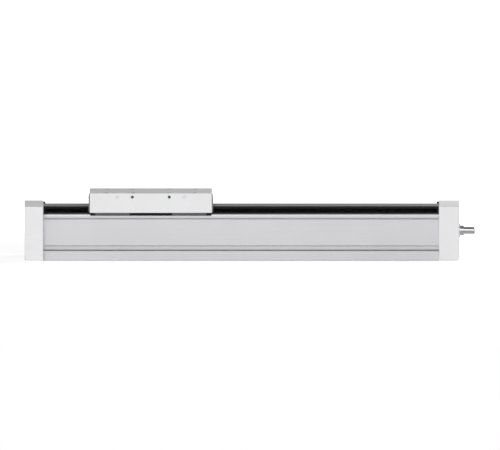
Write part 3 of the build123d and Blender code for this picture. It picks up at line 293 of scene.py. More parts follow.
def patterned(name, hex_text, grain_mm, contrast, roughness, bump_mm, shaded_grooves=False, **shader):
    """A material whose colour, roughness and height follow a grain, with broad faint smudges over it."""
    if name in bpy.data.materials:
        return bpy.data.materials[name]
    material = bpy.data.materials.new(name)
    material.use_nodes = True
    tree = material.node_tree
    tree.nodes.clear()
    place = add(tree, "ShaderNodeTexCoord")
    scale = [1 / (size * MM) for size in grain_mm]
    stretched = add(tree, "ShaderNodeMapping", {"Vector": place.outputs["Object"], "Scale": scale})
    noise = add(
        tree, "ShaderNodeTexNoise",
        {"Vector": stretched.outputs["Vector"], "Scale": 1.0, "Detail": 3.0, "Roughness": 0.55},
    )
    tone = add(tree, "ShaderNodeValToRGB", {"Fac": noise.outputs["Fac"]})
    tone.color_ramp.elements[0].position = NOISE_LOW
    tone.color_ramp.elements[0].color = shade(hex_text, 1 - contrast)
    tone.color_ramp.elements[1].position = NOISE_HIGH
    tone.color_ramp.elements[1].color = shade(hex_text, 1 + contrast)
    smudge = add(
        tree, "ShaderNodeTexNoise",
        {"Vector": place.outputs["Object"], "Scale": 1 / (SMUDGE_SIZE * MM), "Detail": 2.0, "Roughness": 0.5},
    )
    dulled = add(
        tree, "ShaderNodeMapRange",
        {"Value": smudge.outputs["Fac"], "From Min": NOISE_LOW, "From Max": NOISE_HIGH,
         "To Min": 1 - SMUDGE_SHADE, "To Max": 1 + SMUDGE_SHADE},
    )
    colour = add(
        tree, "ShaderNodeVectorMath",
        {"Vector": tone.outputs["Color"], "Scale": dulled.outputs["Result"]}, operation="SCALE",
    )
    # Painted shade: the frame's grooves are darkened
    if shaded_grooves:
        colour = add(
            tree, "ShaderNodeVectorMath",
            {"Vector": colour.outputs["Vector"], "Scale": painted_groove_shade(tree, place)}, operation="SCALE",
        )
    rough = add(
        tree, "ShaderNodeMapRange",
        {"Value": noise.outputs["Fac"], "From Min": NOISE_LOW, "From Max": NOISE_HIGH,
         "To Min": roughness[0], "To Max": roughness[1]},
    )
    gloss = add(
        tree, "ShaderNodeMath",
        {0: rough.outputs["Result"], 1: dulled.outputs["Result"]}, operation="MULTIPLY",
    )
    height = add(
        tree, "ShaderNodeBump",
        {"Height": noise.outputs["Fac"], "Strength": 0.5, "Distance": bump_mm * MM},
    )
    surface = add(
        tree, "ShaderNodeBsdfPrincipled",
        {"Base Color": colour.outputs["Vector"], "Roughness": gloss.outputs["Value"],
         "Normal": height.outputs["Normal"], **shader},
    )
    add(tree, "ShaderNodeOutputMaterial", {"Surface": surface.outputs["BSDF"]})
    return material


def finishes():
    return bpy.context.scene.module_finishes


def sizes():
    return bpy.context.scene.module_sizes


def anodised_extrusion():
    """Natural anodised aluminium, extruded: a satin grey with faint die lines along its length.

    Real die lines are under a tenth of a millimetre apart, so they are drawn coarser to show. The
    grooves are a little darker: painted shade.
    """
    return patterned(
        "natural_anodised_extrusion", finishes().profile, (180.0, 1.2, 1.2), 0.025, (0.42, 0.50), 0.006,
        shaded_grooves=True, Metallic=0.55,
    )


def anodised_cover():
    """The same extrusion in a darker anodised layer, as wide flat plates come out."""
    return patterned(
        "anodised_cover_plate", finishes().cover, (160.0, 1.4, 1.4), 0.03, (0.52, 0.60), 0.006,
        Metallic=0.5,
    )


def blasted_aluminium():
    """Milled aluminium, glass-blasted and anodised: pale and even, with a fine grain."""
    return patterned(
        "blasted_anodised_aluminium", finishes().block, (0.7, 0.7, 0.7), 0.018, (0.58, 0.68), 0.012,
        Metallic=0.33,
    )


def milled_aluminium_and_painted_light():
    """Milled and anodised faces: a touch darker than the blasted ones, with faint feed marks across them.

    Real feed marks are a few tenths of a millimetre apart, so they are drawn coarser to show. On the frame's clamp
    slopes this paler colour is painted light.
    """
    return patterned(
        "milled_anodised_and_painted_light", finishes().milled, (0.9, 60.0, 60.0), 0.03, (0.54, 0.64), 0.008,
        Metallic=0.33,
    )


def turned_aluminium():
    """Turned aluminium, left bare: finer and brighter than the blasted faces."""
    return patterned(
        "turned_aluminium", finishes().profile, (0.5, 6.0, 6.0), 0.04, (0.28, 0.36), 0.006,
        Metallic=0.9,
    )


def cut_thread_and_hole_shade():
    """Threads cut with a tap and still oily: darker than the blasted faces round them, partly for the oil and
    partly as painted shade in the holes.
    """
    return patterned(
        "oily_thread_and_hole_shade", finishes().cut_thread_and_hole_shade, (0.6, 0.6, 0.6), 0.1, (0.30, 0.40), 0.006, Metallic=0.9,
    )


def ground_steel():
    """Ground bearing steel on round shafts: bright, with grinding lines around the axis."""
    return patterned(
        "ground_shaft_steel", finishes().steel, (0.35, 8.0, 8.0), 0.05, (0.08, 0.13), 0.002, Metallic=1.0,
    )


def greased_steel():
    """Rolled thread under a film of grease: duller and darker than the ground shaft ends."""
    return patterned(
        "greased_thread_steel", finishes().steel, (1.5, 1.5, 1.5), 0.15, (0.45, 0.58), 0.01, Metallic=0.8,
    )


def rail_steel():
    """Ground rail steel: bright, with grinding lines along the rail."""
    return patterned(
        "ground_rail_steel", finishes().steel, (60.0, 0.6, 0.6), 0.05, (0.18, 0.26), 0.004, Metallic=1.0,
    )


def hardened_steel():
    """Hardened steel bodies of the runner blocks and the nut: darker and finely ground."""
    return patterned(
        "hardened_block_steel", finishes().nut_steel, (8.0, 0.8, 0.8), 0.05, (0.26, 0.34), 0.005,
        Metallic=1.0,
    )


def black_oxide():
    """Steel with a thin black oxide: dark, slightly oily, brighter where it is worn."""
    return patterned(
        "black_oxide_steel", finishes().black_screw, (0.9, 0.9, 0.9), 0.25, (0.34, 0.46), 0.006, Metallic=0.6,
    )


def seal_rubber():
    """Extruded black polyurethane: near black, matt, with soft long streaks."""
    return patterned(
        "black_seal_rubber", finishes().rubber, (40.0, 0.9, 0.9), 0.2, (0.62, 0.74), 0.01,
        **{"Metallic": 0.0, "Specular IOR Level": 0.05},
    )


def strip_rubber_painted_shade():
    """The upper strips' rubber: a darker copy of the lips' rubber, as painted shade."""
    return patterned(
        "deep_black_strip_rubber", finishes().strip_rubber_painted_shade, (40.0, 0.9, 0.9), 0.2, (0.62, 0.74), 0.01,
        **{"Metallic": 0.0, "Specular IOR Level": 0.02},
    )


def grey_plastic():
    """Moulded grey plastic with a fine eroded texture from its mould."""
    return patterned(
        "moulded_grey_plastic", finishes().grey_plastic, (0.5, 0.5, 0.5), 0.08, (0.5, 0.6), 0.015,
        Metallic=0.0,
    )


def wiper_plastic():
    """Pale grey wiper plastic, smooth where it was pressed against its mould."""
    return patterned(
        "moulded_pale_plastic", finishes().wiper_plastic, (0.8, 0.8, 0.8), 0.05, (0.46, 0.56), 0.01,
        Metallic=0.0,
    )


def black_plastic():
    """Moulded black plastic, a little smoother than the pads."""
    return patterned(
        "moulded_black_plastic", finishes().black_plastic, (0.6, 0.6, 0.6), 0.1, (0.42, 0.52), 0.012,
        Metallic=0.0,
    )


def clear_selection():
    """Leaves edit mode and deselects everything."""
    if bpy.context.mode != "OBJECT":
        bpy.ops.object.mode_set(mode="OBJECT")
    bpy.ops.object.select_all(action="DESELECT")


def activate(piece):
    """Makes a piece the only selected and active one."""
    clear_selection()
    piece.select_set(True)
    bpy.context.view_layer.objects.active = piece


def select_in_edit(mode, test):
    """In edit mode, selects just the vertices, edges or faces that pass a test on their middle."""
    bpy.ops.mesh.select_mode(type=mode)
    bpy.ops.mesh.select_all(action="DESELECT")
    mesh = bmesh.from_edit_mesh(bpy.context.active_object.data)
    if mode == "VERT":
        for vert in mesh.verts:
            vert.select_set(test(vert.co))
    elif mode == "EDGE":
        for edge in mesh.edges:
            if test((edge.verts[0].co + edge.verts[1].co) / 2):
                edge.select_set(True)
    else:
        for face in mesh.faces:
            if test(face.calc_center_median()):
                face.select_set(True)
    mesh.select_flush_mode()
    bmesh.update_edit_mesh(bpy.context.active_object.data)


def apply_modifier(piece, kind, **settings):
    """Adds a modifier with its settings and applies it."""
    activate(piece)
    modifier = piece.modifiers.new(kind.lower(), kind)
    for name, value in settings.items():
        setattr(modifier, name, value)
    bpy.ops.object.modifier_apply(modifier=modifier.name)


def close_mesh(piece):
    """Merges doubled points and turns all faces outwards."""
    activate(piece)
    bpy.ops.object.mode_set(mode="EDIT")
    bpy.ops.mesh.select_all(action="SELECT")
    bpy.ops.mesh.remove_doubles(threshold=MERGE_DISTANCE)
    bpy.ops.mesh.normals_make_consistent(inside=False)
    bpy.ops.object.mode_set(mode="OBJECT")


def smooth_rounds(piece):
    """Smooth shading on round faces, with flat faces and real edges left crisp."""
    activate(piece)
    bpy.ops.object.shade_smooth_by_angle(angle=SMOOTH_ANGLE)


def settle(piece, name, body, material, replaced=()):
    """Names a finished piece, puts its place into its mesh and joins it to the frame."""
    piece.name = name
    piece.data.name = name
    activate(piece)
    bpy.ops.object.transform_apply(location=True, rotation=True, scale=True)
    piece.data.materials.clear()
    piece.data.materials.append(material)
    smooth_rounds(piece)
    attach(piece, body)
    if replaced:
        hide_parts(*replaced)
    clear_selection()
    return piece


def second_finish(piece, material, test):
    """Gives the faces of a finished piece whose middles pass a test another finish."""
    if material.name not in piece.data.materials:
        piece.data.materials.append(material)
    activate(piece)
    bpy.ops.object.mode_set(mode="EDIT")
    select_in_edit("FACE", test)
    piece.active_material_index = piece.data.materials.find(material.name)
    bpy.ops.object.material_slot_assign()
    clear_selection()


def body_of(node):
    """The moving body that a frame node belongs to."""
    bodies = frame["record"]["behaviour"]["bodies"]
    return next(body for body, nodes in bodies.items() if node in nodes)


def slot_of(node):
    """The material slot of a frame node."""
    return next(part["material_slot"] for part in frame["record"]["subparts"] if part["node"] == node)


def softened(node, width, material):
    """A copy of a frame node whose sharp edges are broken, standing in for it."""
    source = frame["nodes"][node]
    piece = bpy.data.objects.new(f"{node}_finished", source.data.copy())
    bpy.context.scene.collection.objects.link(piece)
    close_mesh(piece)
    bpy.ops.object.mode_set(mode="EDIT")
    bpy.ops.mesh.select_all(action="SELECT")
    bpy.ops.mesh.dissolve_limited(angle_limit=math.radians(0.5))
    bpy.ops.object.mode_set(mode="OBJECT")
    apply_modifier(
        piece, "BEVEL", width=width, segments=2, limit_method="ANGLE", angle_limit=ROUNDED_ANGLE,
        use_clamp_overlap=True,
    )
    settle(piece, f"{node}_finished", body_of(node), material, [node])
    apply_modifier(piece, "WEIGHTED_NORMAL", keep_sharp=True, weight=100)
    return piece


def copied(piece, name, place):
    """A copy of a modelled piece with its own mesh, moved by a matrix inside that mesh."""
    twin = bpy.data.objects.new(name, piece.data.copy())
    bpy.context.scene.collection.objects.link(twin)
    twin.data.transform(place)
    return twin


def pointing(direction):
    """The turn that takes +Z to a direction."""
    return Vector((0, 0, 1)).rotation_difference(Vector(direction)).to_matrix().to_4x4()


def node_places(node):
    """Middles and sizes of the separate solids in a frame node."""
    mesh = bmesh.new()
    mesh.from_mesh(frame["nodes"][node].data)
    bmesh.ops.remove_doubles(mesh, verts=mesh.verts, dist=MERGE_DISTANCE)
    left = set(mesh.verts)
    boxes = []
    while left:
        island = {left.pop()}
        front = list(island)
        while front:
            for edge in front.pop().link_edges:
                for vert in edge.verts:
                    if vert in left:
                        left.discard(vert)
                        island.add(vert)
                        front.append(vert)
        low = Vector([min(vert.co[i] for vert in island) for i in range(3)])
        high = Vector([max(vert.co[i] for vert in island) for i in range(3)])
        boxes.append((low, high))
    mesh.free()
    return sorted(boxes, key=lambda box: tuple(round(c, 5) for c in box[0]))


def on_clamp_slope(middle):
    """Whether a face's middle lies on the slope over one of the frame's clamp grooves."""
    near, deep = CLAMP_SLOPE_DEPTHS
    low, high = CLAMP_SLOPE_HEIGHTS
    return near < FRAME_HIGH.y - abs(middle.y) < deep and low < middle.z < high


class MODULE_OT_frame(bpy.types.Operator):
    """Finishes the extruded frame and its cover plate"""

    bl_idname = "module.frame"
    bl_label = "Frame and cover"

    def execute(self, context):
        profile = softened("frame_profile", sizes().edge_round, anodised_extrusion())
        # Painted light: the slopes over the clamp grooves get the paler milled colour, though the extrusion has
        # one finish all over
        second_finish(profile, milled_aluminium_and_painted_light(), on_clamp_slope)
        softened("cover_plate", sizes().edge_round, anodised_cover())
        return {"FINISHED"}


class MODULE_OT_end_blocks(bpy.types.Operator):
    """Finishes both end blocks and the idle side cap"""

    bl_idname = "module.end_blocks"
    bl_label = "End blocks"

    def execute(self, context):
        for node in ("drive_end_block", "idle_end_block"):
            softened(node, sizes().block_round, blasted_aluminium())
        softened("idle_end_cap", sizes().edge_round, turned_aluminium())
        return {"FINISHED"}


class MODULE_OT_carriage(bpy.types.Operator):
    """Finishes the carriage body"""

    bl_idname = "module.carriage"
    bl_label = "Carriage"

    def execute(self, context):
        body = softened("carriage_body", sizes().edge_round, blasted_aluminium())
        second_finish(body, milled_aluminium_and_painted_light(), lambda middle: middle.z > CARRIAGE_HIGH.z - 0.01 * MM)
        return {"FINISHED"}


class MODULE_OT_seals(bpy.types.Operator):
    """Rounds the rubber seals, wipers and stop buffers"""

    bl_idname = "module.seals"
    bl_label = "Seals and buffers"

    def execute(self, context):
        rubber = seal_rubber()
        for side in ("front", "rear"):
            softened(f"sealing_strip_{side}", sizes().rubber_round, strip_rubber_painted_shade())
            softened(f"lip_seal_{side}", sizes().rubber_round, rubber)
            softened(f"side_seal_{side}", sizes().rubber_round / 4, rubber)
        for end in ("idle", "drive"):
            softened(f"end_wiper_{end}", sizes().rubber_round / 2, wiper_plastic())
        softened("stop_buffers", sizes().rubber_round, rubber)
        softened("side_seal_pads", sizes().rubber_round / 4, grey_plastic())
        return {"FINISHED"}


def face_at(x):
    """A test for faces whose middle lies in the cross plane at x."""
    return lambda middle: abs(middle.x - x) < ON_PLANE


def turned_end(start_x, stages):
    """A shaft end off the lathe: from start_x outwards, each stage is the x where it ends and its radius."""
    end_x, radius = stages[0]
    clear_selection()
    bpy.ops.mesh.primitive_cylinder_add(
        vertices=ROUND_FACETS, radius=radius, depth=abs(end_x - start_x),
        location=((start_x + end_x) / 2, 0, 0), rotation=(0, math.radians(90), 0),
    )
    bpy.ops.object.transform_apply(location=True, rotation=True, scale=True)
    piece = bpy.context.active_object
    bpy.ops.object.mode_set(mode="EDIT")
    for next_x, next_radius in stages[1:]:
        ratio = next_radius / radius
        select_in_edit("FACE", face_at(end_x))
        bpy.ops.mesh.extrude_region_move(TRANSFORM_OT_translate={"value": (0, 0, 0)})
        bpy.ops.transform.resize(value=(1, ratio, ratio), center_override=(end_x, 0, 0))
        bpy.ops.mesh.extrude_region_move(TRANSFORM_OT_translate={"value": (next_x - end_x, 0, 0)})
        end_x, radius = next_x, next_radius
    bpy.ops.object.mode_set(mode="OBJECT")
    return piece


def drill_centre(piece, face_x, outwards):
    """Chamfers the last edge of a shaft end and drills its lathe centre, a cone in the end face."""
    activate(piece)
    bpy.ops.object.mode_set(mode="EDIT")
    radius = sizes().journal / 2
    for shrink, step in SHAFT_TIP_STEPS:
        select_in_edit("FACE", face_at(face_x))
        bpy.ops.mesh.extrude_region_move(TRANSFORM_OT_translate={"value": (0, 0, 0)})
        ratio = (radius - shrink) / radius
        bpy.ops.transform.resize(value=(1, ratio, ratio), center_override=(face_x, 0, 0))
        bpy.ops.transform.translate(value=(outwards * step, 0, 0))
        face_x += outwards * step
        radius -= shrink
    bpy.ops.object.mode_set(mode="OBJECT")


class MODULE_OT_ball_screw(bpy.types.Operator):
    """Models the ball screw with its helical ball groove, turned ends and drilled centre"""

    bl_idname = "module.ball_screw"
    bl_label = "Ball screw"

    def execute(self, context):
        thread_start = FRAME_LOW.x + sizes().thread_gap
        thread_end = FRAME_HIGH.x - sizes().thread_gap
        fixed_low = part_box("fixed_bearing_inner_ring")[0]
        float_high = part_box("float_bearing_inner_ring")[1]
        ring_low, ring_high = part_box("retaining_ring")
        nut_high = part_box("lock_nut")[1]
        seat = sizes().fixed_seat / 2
        tail = sizes().float_seat / 2
        rise = sizes().shoulder_rise
        chamfer = SHAFT_TIP_STEPS[0][1]
        drive = turned_end(thread_end, [
            (fixed_low.x, seat + rise),
            (nut_high.x, seat),
            (DRIVE_FACE + sizes().land_length, sizes().land / 2),
            (SCREW_HIGH.x - chamfer, sizes().journal / 2),
        ])
        drill_centre(drive, SCREW_HIGH.x - chamfer, 1)
        idle = turned_end(thread_start, [
            (float_high.x, tail + rise),
            (ring_high.x, tail),
            (ring_low.x, tail - sizes().ring_groove),
            (SCREW_LOW.x, tail),
        ])
        thread = self.thread(thread_start, thread_end)
        activate(thread)
        drive.select_set(True)
        idle.select_set(True)
        bpy.ops.object.join()
        close_mesh(thread)
        thread.location.z = AXIS_Z
        settle(thread, "ball_screw_threaded", "screw", ground_steel(), ["ball_screw"])
        second_finish(thread, greased_steel(), lambda middle: thread_start < middle.x < thread_end)
        return {"FINISHED"}

    def thread(self, start, end):
        """One lead of the groove's profile, swept round the axis as often as the thread is long."""
        lead = sizes().screw_lead
        ball = sizes().ball_radius
        surface = SCREW_HIGH.y
        middle = start - lead
        clear_selection()
        bpy.ops.mesh.primitive_circle_add(
            vertices=GROOVE_FACETS, radius=ball, location=(middle, 0, surface + ball - sizes().groove_depth),
            rotation=(math.radians(90), 0, 0),
        )
        bpy.ops.object.transform_apply(location=True, rotation=True, scale=True)
        thread = bpy.context.active_object
        bpy.ops.object.mode_set(mode="EDIT")
        select_in_edit("VERT", lambda co: co.z > surface - 0.05 * MM)
        bpy.ops.mesh.delete(type="VERT")
        for side in SIDES:
            self.lead_out(middle, side, surface, lead)
        bpy.ops.object.mode_set(mode="OBJECT")
        apply_modifier(
            thread, "SCREW", axis="X", angle=math.tau, screw_offset=lead,
            steps=GROOVE_STEPS, render_steps=GROOVE_STEPS,
            iterations=math.ceil((end - start) / lead) + 3, use_merge_vertices=False,
        )
        close_mesh(thread)
        bpy.ops.object.mode_set(mode="EDIT")
        for x, side in ((start, -1), (end, 1)):
            bpy.ops.mesh.select_all(action="SELECT")
            bpy.ops.mesh.bisect(
                plane_co=(x, 0, 0), plane_no=(side, 0, 0), use_fill=True, clear_outer=True, clear_inner=False
            )
        bpy.ops.object.mode_set(mode="OBJECT")
        return thread

    def lead_out(self, middle, side, surface, lead):
        """Runs the groove's edge up to the surface and along it to half a lead from its middle."""
        mesh = bmesh.from_edit_mesh(bpy.context.active_object.data)
        edge = max((vert.co.copy() for vert in mesh.verts), key=lambda co: side * co.x)
        rim_x = edge.x + side * GROOVE_RIM
        for x in (rim_x, middle + side * lead / 2):
            select_in_edit("VERT", lambda co: (co - edge).length < ON_PLANE)
            step = Vector((x - edge.x, 0, surface - edge.z))
            bpy.ops.mesh.extrude_region_move(TRANSFORM_OT_translate={"value": step})
            edge = edge + step


def hex_socket(piece, across, top, depth):
    """Cuts a hexagon socket with a drilled bottom into the top of a screw."""
    clear_selection()
    bpy.ops.mesh.primitive_cylinder_add(
        vertices=6, radius=across / math.sqrt(3), depth=2 * depth, location=(0, 0, top)
    )
    cutter = bpy.context.active_object
    bpy.ops.object.transform_apply(location=True, rotation=True, scale=True)
    bpy.ops.object.mode_set(mode="EDIT")
    select_in_edit("FACE", lambda middle: middle.z < top - depth + 0.01 * MM)
    bpy.ops.mesh.extrude_region_move(TRANSFORM_OT_translate={"value": (0, 0, -depth * CONE_DEPTH_SHARE)})
    bpy.ops.transform.resize(value=(CONE_TIP_SHARE, CONE_TIP_SHARE, 1), center_override=(0, 0, 0))
    bpy.ops.object.mode_set(mode="OBJECT")
    apply_modifier(piece, "BOOLEAN", operation="DIFFERENCE", solver="EXACT", object=cutter)
    bpy.data.objects.remove(cutter)


def socket_head_screw(head, height, shank, length, across, knurl):
    """A socket head screw along +Z with the underside of its head at the origin."""
    clear_selection()
    facets = KNURL_TEETH * 2
    rim = height * HEAD_RIM_SHARE
    bpy.ops.mesh.primitive_cylinder_add(vertices=facets, radius=head, depth=rim, location=(0, 0, rim / 2))
    screw = bpy.context.active_object
    bpy.ops.object.transform_apply(location=True, rotation=True, scale=True)
    bpy.ops.object.mode_set(mode="EDIT")
    select_in_edit("VERT", lambda co: round(math.atan2(co.y, co.x) * facets / math.tau) % 2 == 1)
    pull = (head - knurl) / head
    bpy.ops.transform.resize(value=(pull, pull, 1), center_override=(0, 0, 0))
    select_in_edit("FACE", lambda middle: middle.z > rim - ON_PLANE)
    bpy.ops.mesh.extrude_region_move(TRANSFORM_OT_translate={"value": (0, 0, height - rim)})
    bpy.ops.transform.resize(value=(HEAD_TOP_SHARE, HEAD_TOP_SHARE, 1), center_override=(0, 0, height))
    select_in_edit("FACE", lambda middle: middle.z < ON_PLANE)
    bpy.ops.mesh.extrude_region_move(TRANSFORM_OT_translate={"value": (0, 0, 0)})
    bpy.ops.transform.resize(value=(shank / head, shank / head, 1), center_override=(0, 0, 0))
    bpy.ops.mesh.extrude_region_move(TRANSFORM_OT_translate={"value": (0, 0, -length)})
    bpy.ops.mesh.extrude_region_move(TRANSFORM_OT_translate={"value": (0, 0, -shank * TIP_LENGTH_SHARE)})
    bpy.ops.transform.resize(value=(TIP_WIDTH_SHARE, TIP_WIDTH_SHARE, 1), center_override=(0, 0, -length))
    bpy.ops.object.mode_set(mode="OBJECT")
    hex_socket(screw, across, height, height * SOCKET_DEPTH_SHARE)
    close_mesh(screw)
    return screw


def repeat_screw(screw, node, axis, height):
    """Puts a copy of a screw on each solid of a frame node, with its head towards axis."""
    body, slot = body_of(node), slot_of(node)
    direction = Vector(axis)
    for i, (low, high) in enumerate(node_places(node), 1):
        place = (low + high) / 2
        place.x = (high.x if direction.x > 0 else low.x) - direction.x * height
        twin = copied(screw, f"{node[:-1]}_{i}", Matrix.Translation(place) @ pointing(direction))
        settle(twin, f"{node[:-1]}_{i}", body, black_oxide(), [node])
    bpy.data.objects.remove(screw)


class MODULE_OT_end_block_screws(bpy.types.Operator):
    """Models the knurled socket head screws of both end blocks"""

    bl_idname = "module.end_block_screws"
    bl_label = "End block screws"

    def execute(self, context):
        height = sizes().m5_height
        for node, axis in (("drive_block_screws", (1, 0, 0)), ("idle_block_screws", (-1, 0, 0))):
            low, high = node_places(node)[0]
            shank_length = high.x - low.x - height - sizes().m5_shank * TIP_LENGTH_SHARE
            screw = socket_head_screw(
                sizes().m5_head, height, sizes().m5_shank, shank_length, sizes().m5_key, sizes().knurl
            )
            repeat_screw(screw, node, axis, height)
        return {"FINISHED"}


class MODULE_OT_cover_screws(bpy.types.Operator):
    """Models the low head screws of the bearing cover"""

    bl_idname = "module.cover_screws"
    bl_label = "Bearing cover screws"

    def execute(self, context):
        height = sizes().m3_height
        low, high = node_places("bearing_cover_screws")[0]
        shank_length = high.x - low.x - height - sizes().m3_shank * TIP_LENGTH_SHARE
        screw = socket_head_screw(
            sizes().m3_head, height, sizes().m3_shank, shank_length, sizes().m3_key, 0.0
        )
        repeat_screw(screw, "bearing_cover_screws", (1, 0, 0), height)
        return {"FINISHED"}


class MODULE_OT_set_screws(bpy.types.Operator):
    """Models the headless screws of the end wipers"""

    bl_idname = "module.set_screws"
    bl_label = "Wiper screws"

    def execute(self, context):
        for i, (low, high) in enumerate(node_places("wiper_screws"), 1):
            outwards = 1 if (low + high).x / 2 > CARRIAGE_X else -1
            length = high.x - low.x
            clear_selection()
            bpy.ops.mesh.primitive_cylinder_add(
                vertices=SET_SCREW_FACETS, radius=sizes().m3_shank, depth=length, location=(0, 0, -length / 2)
            )
            screw = bpy.context.active_object
            bpy.ops.object.transform_apply(location=True, rotation=True, scale=True)
            apply_modifier(
                screw, "BEVEL", width=sizes().m3_shank / 8, segments=2, limit_method="ANGLE",
                angle_limit=math.radians(40),
            )
            hex_socket(screw, sizes().m3_key * SET_SCREW_KEY_SHARE, 0.0, sizes().m3_shank)
            place = (low + high) / 2
            place.x = high.x if outwards > 0 else low.x
            screw.data.transform(Matrix.Translation(place) @ pointing((outwards, 0, 0)))
            close_mesh(screw)
            settle(screw, f"wiper_screw_{i}", "carriage", black_oxide(), ["wiper_screws"])
        return {"FINISHED"}


def thread_coil(radius, depth, pitch, height):
    """The ridge of a tapped hole: a triangle swept up a helix on the hole's wall, from z = 0 down."""
    clear_selection()
    bpy.ops.mesh.primitive_circle_add(
        vertices=3, radius=depth, location=(radius - depth * RIDGE_SHARE, 0, -height),
        rotation=(math.radians(90), 0, 0),
    )
    coil = bpy.context.active_object
    bpy.ops.object.transform_apply(location=True, rotation=True, scale=True)
    apply_modifier(
        coil, "SCREW", axis="Z", angle=math.tau, screw_offset=pitch, steps=TAP_STEPS, render_steps=TAP_STEPS,
        iterations=int(height / pitch) - 1, use_merge_vertices=False,
    )
    close_mesh(coil)
    bpy.ops.object.mode_set(mode="EDIT")
    bpy.ops.mesh.select_all(action="SELECT")
    bpy.ops.mesh.fill_holes(sides=4)
    bpy.ops.mesh.normals_make_consistent(inside=False)
    bpy.ops.object.mode_set(mode="OBJECT")
    return coil


def pattern_places(mount):
    """The holes of a rectangular or inline pattern, as points on the mount's face."""
    dims = mount["dims"]
    middle = Vector(mount["pos_m"])
    axis = Vector(mount["axis"])
    across = Vector((0, 1, 0)) if abs(axis.x) > 0.5 else Vector((1, 0, 0))
    upwards = Vector((0, 1, 0)) if abs(axis.z) > 0.5 else Vector((0, 0, 1))
    half_x = dims["spacing_x_mm"] * MM / 2
    half_y = dims.get("spacing_y_mm", 0.0) * MM / 2
    rows = SIDES if half_y else (0,)
    return [middle + across * half_x * i + upwards * half_y * j for i in SIDES for j in rows]


def in_bore(point, place, axis, radius):
    """Whether a point lies on the wall or the bottom of a hole that is bored against an axis."""
    offset = point - place
    depth = -offset.dot(axis)
    return depth > ON_PLANE and (offset + axis * depth).length < radius + ON_PLANE


class MODULE_OT_tapped_holes(bpy.types.Operator):
    """Cuts visible threads into the tapped holes of the carriage and the drive end block, darkened partly for oil
    and partly as painted shade
    """

    bl_idname = "module.tapped_holes"
    bl_label = "Tapped holes"

    def execute(self, context):
        depths = {
            "carriage_outer_taps": ("carriage_body", sizes().carriage_tap_depth),
            "carriage_inner_taps": ("carriage_body", sizes().carriage_tap_depth),
            "motor_face": ("drive_end_block", sizes().motor_tap_depth),
            "lube_ports": ("carriage_body", sizes().port_tap_depth),
        }
        for name, (node, height) in depths.items():
            mount = MOUNTS[name]
            radius = mount["dims"]["hole_r_mm"] * MM
            axis = Vector(mount["axis"])
            places = pattern_places(mount)
            coil = thread_coil(radius, radius * sizes().thread_share, sizes().thread_pitch, height)
            for i, place in enumerate(places, 1):
                twin = copied(coil, f"{name}_thread_{i}", Matrix.Translation(place) @ pointing(axis))
                settle(twin, f"{name}_thread_{i}", body_of(node), cut_thread_and_hole_shade())
            bpy.data.objects.remove(coil)
            # The bores' walls and bottoms get the darker thread colour as well: painted shade in the holes, with
            # oil
            second_finish(
                bpy.data.objects[f"{node}_finished"], cut_thread_and_hole_shade(),
                lambda middle: any(in_bore(middle, place, axis, radius) for place in places),
            )
        return {"FINISHED"}


class MODULE_OT_access_plugs(bpy.types.Operator):
    """Models the plugs over the runner block screws, each with a rim groove and a puller hole"""

    bl_idname = "module.access_plugs"
    bl_label = "Access plugs"

    def execute(self, context):
        low, high = node_places("access_hole_plugs")[0]
        radius = (high.y - low.y) / 2
        depth = high.z - low.z
        clear_selection()
        bpy.ops.mesh.primitive_cylinder_add(
            vertices=PLUG_FACETS, radius=radius, depth=depth, location=(0, 0, -depth / 2)
        )
        plug = bpy.context.active_object
        bpy.ops.object.transform_apply(location=True, rotation=True, scale=True)
        bpy.ops.object.mode_set(mode="EDIT")
        select_in_edit("FACE", lambda middle: middle.z > -ON_PLANE and middle.xy.length < 0.1 * MM)
        for inset, rise in PLUG_TOP_STEPS:
            bpy.ops.mesh.inset(thickness=inset * radius)
            if rise:
                bpy.ops.mesh.extrude_region_move(TRANSFORM_OT_translate={"value": (0, 0, rise * MM)})
        bpy.ops.object.mode_set(mode="OBJECT")
        for i, (low, high) in enumerate(node_places("access_hole_plugs"), 1):
            place = Matrix.Translation(((low.x + high.x) / 2, (low.y + high.y) / 2, high.z))
            twin = copied(plug, f"access_plug_{i}", place)
            settle(
                twin, f"access_plug_{i}", "carriage", blasted_aluminium(),
                ["access_hole_plugs"],
            )
        bpy.data.objects.remove(plug)
        return {"FINISHED"}


# Frame nodes whose finish differs from the rest of their slot
MACHINED = {
    "guide_rail_front": rail_steel, "guide_rail_rear": rail_steel, "bearing_cover": turned_aluminium,
    "lube_port_plugs": milled_aluminium_and_painted_light,
}


class MODULE_OT_inner_parts(bpy.types.Operator):
    """Gives every remaining frame node the finish of its real material"""

    bl_idname = "module.inner_parts"
    bl_label = "Inner parts"

    def execute(self, context):
        by_slot = {
            "anodised_profile": anodised_extrusion,
            "blasted_aluminium": blasted_aluminium,
            "black_seal": seal_rubber,
            "grey_pad": grey_plastic,
            "ground_steel": ground_steel,
            "block_steel": hardened_steel,
            "black_screw": black_oxide,
            "cap_plastic": black_plastic,
        }
        for name, node in frame["nodes"].items():
            finish = MACHINED.get(name, by_slot[slot_of(name)])
            node.data.materials.clear()
            node.data.materials.append(finish())
        return {"FINISHED"}


